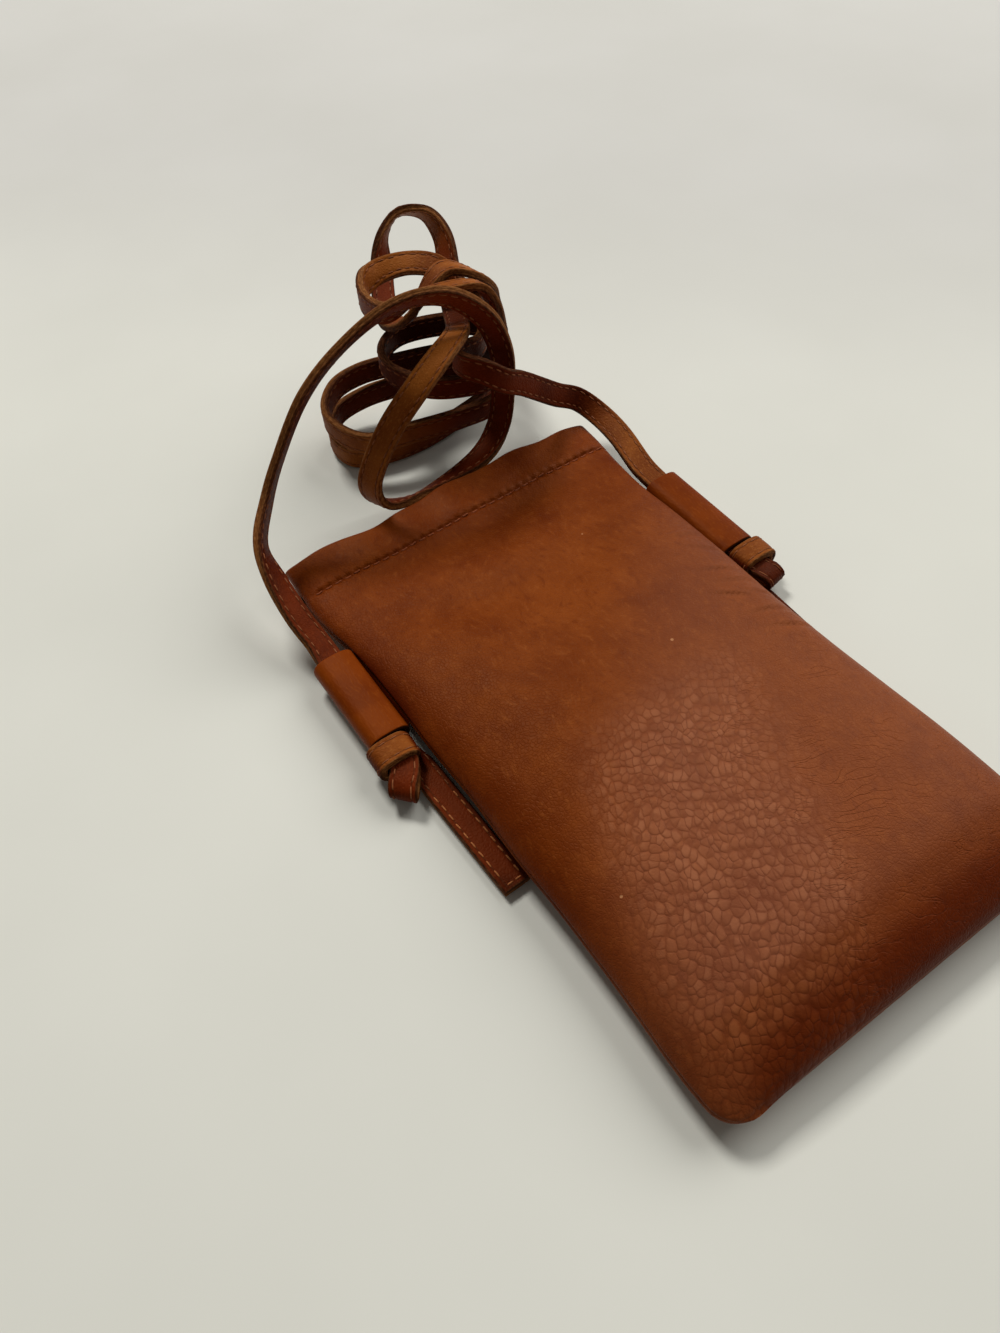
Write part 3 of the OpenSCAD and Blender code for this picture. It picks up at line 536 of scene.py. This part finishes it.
# %% The hem's stitches
class AlongHem:
    """Stitch places across the front or back skin, from one x to another."""
    def __init__(self, skin, low, high, face, seed):
        chance = np.random.default_rng(seed)
        self.x = np.arange(low, high, STITCH_PITCH) + STITCH_PITCH/2
        self.skin, self.face, self.count = skin, face, len(self.x)
        self.stray, self.slant = chance.normal(0, .1, self.count), chance.normal(.06, .05, self.count)
    def __call__(self, dx, i):
        x = self.x[i] + dx
        y = STITCH_Y + self.stray[i] + self.slant[i]*dx
        spot, _ = self.skin(x/half_width(x, share_at(y)), share_at(y))
        spot[:, 1] = gathered(y, mouth_wave(x))
        side, up = self.face*np.array([(0, 1, 0), (0, 0, 1)])
        return spot + up*.06, side, up

hem_threads = []  # side is -1 or 1 for the front's halves and 0 for the back, whose stitches face down
for name, skin, low, high, side, seed in (("front_stitches_left", front_skin, -48, 0, -1, 2),
                                          ("front_stitches_right", front_skin, 0, 50, 1, 3),
                                          ("back_stitches", back_skin, -42, 42, 0, 4)):
    thread = lay_stitches(name, AlongHem(skin, low, high, 1 if side else -1, seed), 2.4, .62)
    hem_threads.append(thread)
    if side:
        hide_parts("front_hem_stitches"); gusset(thread, side)
    else:
        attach(thread, "pouch"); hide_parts("back_hem_stitches")

# %% [markdown]
# Each end of the strap runs down through its loop, is tied in an overhand knot under it and leaves a short tail
# on the table. The knot is followed as the leather goes: down as a lobe, folded under itself, back up beneath,
# round the whole as a band, and out below as the tail. One line of listed points does it for both sides,
# with the outward side mirrored, and is then cut at the loop's end and the knot's end into three pieces.

# %% The strap's two ends
LOOP_X, LOOP_Z, TAIL_OUT, TAIL_Z, TAIL_LENGTH, TAIL_TURN = 54.8552, 6, -4.8, 1.45, 31, 1.8
KNOT_X = LOOP_X + 1.5

def end_line(side, loop_end, knot_length, lean, short):
    """The middle line of one strap end, and the distances at which its knot and its tail start. A knot's point is
    outward from the knot's middle, share of the knot's length from its foot, height, and the way the width lies.
    lean turns the lobe outward, in degrees, and short ends it higher up."""
    s, c = np.sin(np.radians(lean)), np.cos(np.radians(lean))
    flat, lobe, band = (1, 0, 0), (c, s, 0), (0, -1, 0)
    knot = [(-1.5, 1, 6, flat), (-1.5, .88, 5.95, flat), (-1.4, .72, 5.9, flat), (-1.1 + .2*s, .56, 6.15, lobe),
            (-.9 + 1.8*s, .4, 6.3, lobe), (-.8 + 4.4*s, .24 + short*.8, 5.9, lobe),
            (-.8 + 5.6*s, .13 + short, 4.9, lobe), (-.8 + 5.3*s, .15 + short, 3.75, lobe),
            (-.7 + 3.2*s, .28 + short*.8, 3.4, lobe), (-.5 + 1.2*s, .42, 3.5, (1, .1, 0)),
            (.2, .56, 3.6, (.9, -.4, 0)), (1.9, .7, 3.65, (.4, -.9, .1)), (3.9, .765, 4.3, (.1, -1, 0)),
            (4.75, .775, 5.9, band), (4.2, .78, 7.6, band), (2.2, .78, 8.25, band), (-.6, .78, 8.35, band),
            (-3.4, .775, 7.95, band), (-4.75, .76, 6.3, band), (-4.85, .72, 4.4, (.2, -1, .1)),
            (-4.7, .6, 2.7, (.7, -.7, .3)), (-4.55, .42, 1.75, (1, -.2, .1)), (-4.75, .22, 1.5, flat),
            (TAIL_OUT, 0, TAIL_Z, flat)]
    foot = loop_end - .5 - knot_length
    tail, turn = np.linspace(0, TAIL_LENGTH, 11)[1:], np.radians(TAIL_TURN)
    points = [(LOOP_X, y, LOOP_Z) for y in np.linspace(54, foot + knot_length + 1.5, 10)]
    points += [(KNOT_X + out, foot + share*knot_length, z) for out, share, z, way in knot]
    points += [(KNOT_X + TAIL_OUT - d*np.sin(turn), foot - d*np.cos(turn), TAIL_Z) for d in tail]
    ways = [flat]*10 + [way for *_, way in knot] + [(np.cos(turn), -np.sin(turn), 0)]*len(tail)
    mirror = np.array((side, 1, 1))
    line = smooth_path(points*mirror, ways*mirror*side, step=.6)
    middle, *_, gone = line
    knot_start = gone[np.argmin(np.abs(middle[:, 1] - (foot + knot_length)) + 99*(gone > 40))]
    return line, knot_start, gone[np.searchsorted(gone, gone[-1] - TAIL_LENGTH)]

strap_ends, knot_threads, tail_threads = [], [], []
for name, side, loop_end, knot_length, lean, short in (("left", -1, 24.5, 16.0, 50, .02),
                                                       ("right", 1, 21.0, 17.0, 12, .12)):
    line, top, low = end_line(side, loop_end, knot_length, lean, short)
    gone, end = line[4], line[4][-1]
    for label, start, stop, node in (("strap_in_loop", 0, top, "loop_strap"), ("knot_wrap", top, low, "knot"),
                                     ("strap_tail", low, end, "tail")):
        part = [row[(gone >= start - 1e-6) & (gone <= stop + 1e-6)] for row in line]
        banded = np.clip(part[0][:, 2] - 6.8, 0, 1)  # 1 on the band round the knot, which shows the tan face
        knot_ruddy = .2 - 1.1*banded + (.3 if side > 0 else 0)*(1 - banded)
        piece = strap_piece(f"{name}_{label}", part, {"knot": knot_ruddy, "tail": .25}.get(node, 0.0),
                            (-1,) if node == "tail" else ())
        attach(piece, f"{name}_strap_end"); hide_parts(f"{name}_{node}")
        strap_ends.append(piece)
    for label, places, length, girth, kept in (
            ("knot", AlongStrap(line, top + 2, low + 1, seed=5 + side), 2.1, .4, knot_threads),
            ("tail", AlongStrap(line, low + 2.5, end - 1.9, seed=7 + side), 2.3, .44, tail_threads),
            ("end", AcrossStrap(line, end - 1.7), 1.9, .46, tail_threads)):
        thread = lay_stitches(f"{name}_{label}_stitches", places, length, girth)
        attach(thread, f"{name}_strap_end")
        kept.append(thread)

# %% [markdown]
# The loops are short tubes of smoother leather, wrapped round the strap and caught in the side seams by a
# tongue. A wall is followed right round: along the outside, over the cut end, back along the inside.

# %% The loops
LOOP_TOP, LOOP_WALL, LOOP_HALF, LOOP_TALL = 53.5, 1.3, 5.65, 3.5

def loop_piece(name, side, low):
    """A tube along y: a rounded section |x/a|^3 + |z/b|^2.6 = 1 outside, the same less the wall inside."""
    turn = np.linspace(0, 2*np.pi, 64, endpoint=False)
    c, s = np.cos(turn), np.sin(turn)
    wide, tall = np.sign(c)*np.abs(c)**(2/3), np.sign(s)*np.abs(s)**(2/2.6)
    length, wall = LOOP_TOP - low, LOOP_WALL
    run = .25 + (length - .5)*np.linspace(0, 1, 40)
    path = [(0, y) for y in run] + [(.1, length - .07), (.3, length), (wall - .3, length), (wall - .1, length - .1)]
    path += [(wall, y) for y in run[::-1]] + [(wall - .1, .1), (wall - .3, 0), (.3, 0), (.1, .07)]
    deep, y = np.array(path[::-1] if side > 0 else path).T[..., None]
    x = side*(LOOP_X + (LOOP_HALF - deep)*wide)
    z = LOOP_Z + (LOOP_TALL - deep)*tall*(1 - .0024*np.sin(2*np.pi*y/length))
    grid = grid_points(x, low + y, z)
    raw = np.broadcast_to((deep > .2) & (deep < wall - .2), x.shape)
    index = np.arange(raw.size).reshape(raw.shape)
    quads = grid_quads(np.pad(index, ((0, 1), (0, 1)), mode="wrap"))
    normals = grid_normals(np.pad(grid, ((1, 1), (1, 1), (0, 0)), mode="wrap"))[1:-1, 1:-1].reshape(-1, 3)
    return make_piece(name, grid.reshape(-1, 3), quads, normals[quads.ravel()], values={"raw": raw})

def tongue_piece(name, side, low):
    """A strip between the pouch's seam and a loop's inner side, 1.1 mm thick, painted in full shade where it fills
    the dark gap by the loop.
    """
    y, share = np.linspace(low, LOOP_TOP - .5, 40)[:, None], np.linspace(0, 1, 9)[None, :]
    v, away = share_at(y), share if side > 0 else 1 - share
    seam_x, loop_x = half_width(side*.99, v) + .15, LOOP_X - 5.6
    x = side*(seam_x + (loop_x - seam_x)*away)
    z = seam_height(v)*(1 - .5*away) + LOOP_Z/2*away
    top, under = (grid_points(x, y, z + h) for h in (.55, -.55))
    return sheet_piece(name, top, under, grid_normals(top), {"crest": np.full(top.shape[:2], -1.0)})

loops = [loop_piece("left_loop_tube", -1, 24.5), loop_piece("right_loop_tube", 1, 21.0)]
tongues = [tongue_piece("left_loop_tongue", -1, 25), tongue_piece("right_loop_tongue", 1, 21.5)]
for name, loop, tongue in zip(("left", "right"), loops, tongues):
    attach(loop, "pouch"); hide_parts(f"{name}_loop")
    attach(tongue, "pouch")

# %% [markdown]
# Shader maths is written as formulas. One small class wraps a socket: arithmetic on it adds Math nodes, its short
# methods add the textures used most, and any other node comes from one method that takes the node's type, its
# settings and its inputs.

# %% Shader helper
class Wire:
    """One output socket of a node tree."""
    def __init__(self, socket):
        self.socket, self.tree = socket, socket.id_data
    def out(self, number):
        """Another output of the same node."""
        return Wire(self.socket.node.outputs[number])
    def node(self, kind, settings=None, inputs=None, output=0):
        """Add a node: its settings first, then its inputs by name or number, as values or wires. Returns a wire of
        the output asked for."""
        made = self.tree.nodes.new("ShaderNode" + kind)
        for key, value in (settings or {}).items():
            setattr(made, key, value)
        for key, value in (inputs or {}).items():
            if isinstance(value, Wire):
                self.tree.links.new(value.socket, made.inputs[key])
            else:
                made.inputs[key].default_value = value
        return Wire(made.outputs[output])
    def maths(self, operation, *values):
        return self.node("Math", {"operation": operation}, dict(enumerate(values)))
    def __add__(self, other): return self.maths("ADD", self, other)
    def __radd__(self, other): return self.maths("ADD", other, self)
    def __sub__(self, other): return self.maths("SUBTRACT", self, other)
    def __rsub__(self, other): return self.maths("SUBTRACT", other, self)
    def __mul__(self, other): return self.maths("MULTIPLY", self, other)
    def __rmul__(self, other): return self.maths("MULTIPLY", other, self)
    def __truediv__(self, other): return self.maths("DIVIDE", self, other)
    def __pow__(self, other): return self.maths("POWER", self, other)
    def fade(self, low, high):
        """0 below low, 1 above high, smooth between."""
        return self.node("MapRange", {"interpolation_type": "SMOOTHSTEP"}, {0: self, 1: low, 2: high})
    def size(self):
        return self.maths("ABSOLUTE", self)
    def mix(self, first, second):
        """Between two colours, by this wire."""
        return self.node("Mix", {"data_type": "RGBA"}, {0: self, 6: first, 7: second}, 2)
    def vector(self, operation, *others):
        """Maths on this wire as a vector."""
        return self.node("VectorMath", {"operation": operation}, dict(enumerate((self, *others))))
    def stretched(self, scale, turn=0.0, kind="POINT"):
        """This vector turned by some degrees and scaled."""
        return self.node("Mapping", {"vector_type": kind},
                         {"Vector": self, "Rotation": (0, 0, np.radians(turn)), "Scale": scale})
    def noise(self, scale, detail, roughness=.5, output=0):
        return self.node("TexNoise", inputs={"Vector": self, "Scale": scale, "Detail": detail,
                                             "Roughness": roughness}, output=output)
    def cells(self, scale, randomness=1.0, feature="DISTANCE_TO_EDGE"):
        return self.node("TexVoronoi", {"feature": feature},
                         {"Vector": self, "Scale": scale, "Randomness": randomness})
    def attribute(self, name):
        return self.node("Attribute", {"attribute_name": name}, output=2)
    def bump(self, strength, distance):
        """The normal that this wire makes as a height."""
        return self.node("Bump", inputs={"Strength": strength, "Distance": distance, "Height": self})

def colour(red, green, blue):
    """A colour as the photograph shows it, 0 to 255, made linear."""
    c = np.array([red, green, blue])/255
    return (*np.where(c < .04045, c/12.92, ((c + .055)/1.055)**2.4), 1.0)

def darker(shade, share):
    """A colour with its red, green and blue times a share."""
    return tuple(np.array(shade)*(share, share, share, 1))

def finish_named(name, **constants):
    """A material with its shader's constant sockets set, a wire of object coordinates, and the shader."""
    material = bpy.data.materials.new(name)
    material.use_nodes = True
    shader = material.node_tree.nodes["Principled BSDF"]
    for key, value in constants.items():
        shader.inputs[key.replace("_", " ").title().replace("Ior", "IOR")].default_value = value
    here = material.node_tree.nodes.new("ShaderNodeTexCoord").outputs["Object"]
    return material, Wire(here), shader

def plug(shader, **wires):
    """Link wires to the shader's sockets by name."""
    for key, wire in wires.items():
        wire.tree.links.new(wire.socket, shader.inputs[key.replace("_", " ").title()])

def dress(finish, *pieces):
    """Give each piece this material alone."""
    for piece in pieces:
        piece.data.materials.clear()
        piece.data.materials.append(finish)

# %% [markdown]
# The pouch's leather is full-grain cowhide, dyed cognac and lightly waxed. Down the left of the front runs a
# slanting band of pebbles two to four millimetres wide with thin creases between them. Right of it the hide is
# smoother, with fine slanting wrinkles. Cell textures give the pebbles and their creases, and noise bends,
# stretches and fades them. Colour mottles over centimetres and carries small specks. Light and shade are painted
# over it: painted shade in the creases and wrinkle lines, which is partly their own darker colour, a painted
# highlight on each pebble, a painted sheen over the lower right of the front, and the mesh's painted shading.

# %% Panel leather
WAX_TINT = (1.0, .55, .26, 1)

def hide(name, base, dark, light):
    """Pebbled and wrinkled leather with painted light and shade, and its flesh side where the mesh says so."""
    material, here, shader = finish_named(name, specular_ior_level=.09, specular_tint=WAX_TINT)
    x = here.node("SeparateXYZ", inputs={0: here})
    y = x.out(1)
    def moved(vector, scale, reach):
        """A vector pushed about by noise: vector + (noise - 1/2)*reach."""
        push = here.noise(scale, 2, output=1).vector("SUBTRACT", (.5, .5, .5))
        return push.vector("MULTIPLY_ADD", (reach, reach, reach), vector)
    bent = moved(moved(here, 90, .004), 300, .0011)
    lying = bent.stretched((1, .72, 1), 55, "TEXTURE")
    edge, centre = lying.cells(440, .74), lying.cells(440, .74, "F1")
    tone = centre.out(1)
    grain = bent.cells(1050).fade(0, .2)
    pores, broad, patch = here.noise(3200, 2), here.noise(30, 4, .55), here.noise(95, 5, .62)
    strokes = moved(here, 60, .012).stretched((1, .4, 1)).noise(700, 4, .6)
    wrinkles = moved(here, 55, .010).stretched((4.5, 1, 1), -28, "TEXTURE").noise(420, 2) - .5
    # the pebbled band runs slantwise down the left of the front; wrinkles take over to its right
    off = (x - (y + .012)*.36 + .006 + (broad - .5)*.02)/.0165
    along = 1 - ((y + .050)/.042)**2.0
    spread = off*(1 - off.fade(.2, 1.2)*.34)
    pebbled = (1 - (spread*spread).fade(.1, 2.4))*along.fade(-.35, .6)*(.9 + (patch - .5)*1.6)
    aside = off.fade(.4, 1.6)*(1 - y.fade(-.035, .01))*patch.fade(.42, .6)
    pebble, dome = edge.fade(0, .14), (1 - (centre*1.25)**2.0).fade(0, 1)
    line = (1 - wrinkles.size().fade(0, .03))*aside
    # painted sheen: a pale pinkish veil that grows towards the lower right of the front; the pebbled band gets some
    # too
    painted_sheen = (x - y).fade(-.02, .022)
    height = (dome*.9 + pebble*.12)*pebbled + grain*.2*(1 - pebbled*.9) + pores*.05 + strokes*.2 - line*.45

    skin = (broad*.9 + patch*.8 - .35).fade(.12, .88).mix(dark, base)
    # painted shade darkens the creases between the pebbles and the wrinkle lines, which is partly their own darker
    # colour; colour(158, 98, 64) is a painted highlight on each pebble's dome, varied from cell to cell; the painted
    # sheen veils the lower right and the pebbled band
    for share, shade in ((strokes.fade(.52, .78)*.38, light), ((1 - strokes.fade(.3, .47))*.52, dark),
                         ((1 - patch.fade(.28, .4))*.3, dark), ((1 - grain)*(1 - pebbled)*.12, dark),
                         ((1 - pebble)*pebbled*.46, dark),
                         (dome*pebble*pebbled*(.2 + tone.fade(.2, .9)*.36), colour(158, 98, 64)),
                         (line*.2, dark), (painted_sheen*.15 + pebbled*.1, colour(150, 104, 84))):
        skin = share.mix(skin, shade)
    # painted light and shade from the mesh: a touch lighter on the dome, towards a dark red-brown painted shade by
    # the seams, on the bottom wall, in the furrow and over the tongues
    crest = here.attribute("crest")
    low = crest.fade(-1, 0).mix((.5, .26, .12, 1), (.78, .62, .42, 1))
    skin = skin.vector("MULTIPLY", crest.fade(0, 1).mix(low, (1.03, 1.01, 1.0, 1)))
    for px, py, size in ((.013, .001, .0005), (-.038, -.043, .0004), (.021, .047, .0003)):
        away = (x - px)**2.0 + (y - py)**2.0
        skin = ((1 - away.fade(size*size*.3, size*size))*.5).mix(skin, colour(206, 150, 104))
    flesh = here.attribute("flesh")
    skin = flesh.mix(skin, pores.fade(.3, .7).mix(colour(96, 58, 34), colour(136, 90, 56)))
    plug(shader, base_color=skin, normal=height.bump(.8, .00026),
         roughness=flesh*.4 + (1 - flesh)*(.46 + (patch - .5)*.2 - pebble*pebbled*.06))
    return material

dress(hide("panel_leather", colour(127, 61, 16), colour(96, 37, 4), colour(148, 82, 34)),
      front_left, front_right, back_leather, *tongues)

# %% [markdown]
# The strap's leather is the same hide cut in strips: smooth tan to red-brown faces, and raw edges burnished dark.
# The mesh marks the raw edges, the furrows and the ruddy stretches, and the fibres run along the strap by its own
# uv. The stretches that the route makes ruddier are painted shade where the heap shades the strap, near black on
# its red-brown face, and the furrows carry painted shade. The loops are of smoother leather. Threads come in
# three colours.

# %% Strap leather, loop leather and thread
def strap_leather(name, tan, ruddy):
    """Each of tan and ruddy is a base, a dark and a light colour."""
    material, here, shader = finish_named(name, specular_ior_level=.09, specular_tint=WAX_TINT)
    flat = here.node("UVMap", {"uv_map": "leather"})
    raw, furrow, side = (here.attribute(key) for key in ("raw", "furrow", "ruddy"))
    grain = flat.cells(1100)
    fibre = flat.stretched((1, .25, 1)).noise(2600, 4)
    base, dark, light = (side.mix(*pair) for pair in zip(tan, ruddy))
    skin = (1 - here.noise(45, 3).fade(.35, .62)).mix(base, dark)
    skin = (fibre.fade(.5, .75)*.45).mix(skin, light)
    # painted shade: where the route's rows push a face past ruddy, the strap goes towards near black, and the raw
    # edges below darken with it
    skin = (side.fade(1, 2)*.75).mix(skin, colour(40, 11, 4))
    # painted shade in the stitch furrows
    skin = (furrow.fade(.2, 1)*.6).mix(skin, colour(62, 24, 8))
    upper = side.fade(.5, 1)
    edge = fibre.fade(.35, .7).mix(upper.mix(colour(98, 54, 24), colour(50, 22, 10)),
                                  upper.mix(colour(140, 92, 50), colour(96, 54, 28)))
    height = grain.fade(0, .3)*.4 + fibre*(raw*.8 + .45)
    plug(shader, base_color=raw.fade(.3, .9).mix(skin, edge), roughness=raw*.25 + .5 + (fibre - .5)*.15,
         normal=height.bump(.4, .0003))
    return material

def loop_leather(name, base, dark, light):
    """Smooth leather with a grain along y, and a raw edge."""
    material, here, shader = finish_named(name, specular_ior_level=.05, specular_tint=WAX_TINT)
    raw, drift = here.attribute("raw"), here.noise(70, 3)
    grain = here.stretched((1, .3, 1)).noise(1800, 4)
    skin = (grain.fade(.5, .75)*.4).mix(drift.fade(.3, .7).mix(dark, base), light)
    plug(shader, base_color=raw.mix(skin, colour(70, 40, 24)), roughness=raw*.3 + .42 + (drift - .5)*.1,
         normal=(grain + drift*.5).bump(.3, .0003))
    return material

def thread_finish(name, base):
    """Matt twisted thread."""
    material, here, shader = finish_named(name, roughness=.6, specular_ior_level=.15)
    twist = here.noise(1500, 2)
    plug(shader, base_color=twist.fade(.3, .7).mix(darker(base, .7), base), normal=twist.bump(.3, .0002))
    return material

dress(strap_leather("strap_leather", (colour(144, 80, 28), colour(110, 52, 14), colour(170, 108, 50)),
                    (colour(102, 34, 6), colour(68, 18, 3), colour(122, 52, 18))), strap, *strap_ends)
dress(loop_leather("loop_leather", colour(118, 50, 6), colour(94, 34, 4), colour(134, 66, 16)), *loops)
dress(thread_finish("strap_thread", colour(140, 80, 44)), strap_stitches, *knot_threads)
dress(thread_finish("tail_thread", colour(184, 112, 62)), *tail_threads)
dress(thread_finish("hem_thread", colour(136, 68, 34)), *hem_threads)

# %% [markdown]
# Plain steel for the spring strips and pins hidden in the hem, which show only when the mouth is open.

# %% Steel
def steel(name, base, rough):
    """Steel brushed along x."""
    material, here, shader = finish_named(name, metallic=1.0)
    lines = here.stretched((.04, 1, 1)).noise(4000, 3)
    plug(shader, base_color=lines.fade(.3, .7).mix(darker(base, .8), base), roughness=rough + lines*.2,
         normal=lines.bump(.15, .0001))
    return material

# the front strip and the right pin, which no view at rest shows, keep the model's own plain steel
dress(steel("spring_steel", colour(200, 200, 198), .28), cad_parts["back_spring_strip"])
dress(steel("pin_steel", colour(215, 215, 215), .15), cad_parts["left_hinge_pin"])

# %% [markdown]
# The table is a pale, matt sheet, its colour painted lighter round the pouch and the camera and darker further
# off to the far right, as painted light. Two lamps stand for the room. A small one above and behind the mouth
# gives the sheen on the dome and the direction of the shadows, and a broad one from the right side keeps them
# soft. A dim, warm and even sky leaves the near end in shade.

# %% Table and light
TABLE_HALF, TABLE_Z = 2.2, -.0002
table_mesh = bpy.data.meshes.new("table_top")
table_mesh.from_pydata([(across*TABLE_HALF, along*TABLE_HALF, TABLE_Z)
                        for across, along in ((-1, -1), (1, -1), (1, 1), (-1, 1))], [], [(0, 1, 2, 3)])
table_top = show("table_top", table_mesh)
paper, here, shader = finish_named("pale_table", roughness=.8, specular_ior_level=.2)
x = here.node("SeparateXYZ", inputs={0: here})
mottle = here.noise(9, 4).fade(.2, .8)
# painted light: left is the lighter table colour near the pouch and the camera, right the darker one from 0.1 to 0.4
# m off towards the far right
left, right = (mottle.mix(*pair) for pair in ((colour(214, 214, 205), colour(220, 220, 211)),
                                              (colour(198, 197, 191), colour(203, 202, 197))))
plug(shader, base_color=(x + x.out(1)).fade(.1, .4).mix(left, right))
dress(paper, table_top)

def soft_light(name, place, size, watts, tint):
    """A square lamp at a place that faces the pouch. Places and sizes are in metres."""
    lamp = bpy.data.lights.new(name, "AREA")
    lamp.shape, lamp.size, lamp.size_y, lamp.energy, lamp.color = "RECTANGLE", size, size, watts, tint
    back = unit(np.array(place))
    aim(show(name, lamp), unit(np.cross((0, 0, 1), back)), back, place)

soft_light("window", (.1, 1.8, 2.3), .7, 50, (1.0, .985, .955))
soft_light("bright_wall", (2.0, .3, 1.75), 2.0, 50, (1.0, .99, .97))
world = bpy.data.worlds.new("room"); bpy.context.scene.world = world
world.use_nodes = True
world.node_tree.nodes["Background"].inputs[0].default_value = (1.0, .965, .9, 1)
world.node_tree.nodes["Background"].inputs[1].default_value = .13
bpy.context.scene.view_settings.view_transform = "Standard"
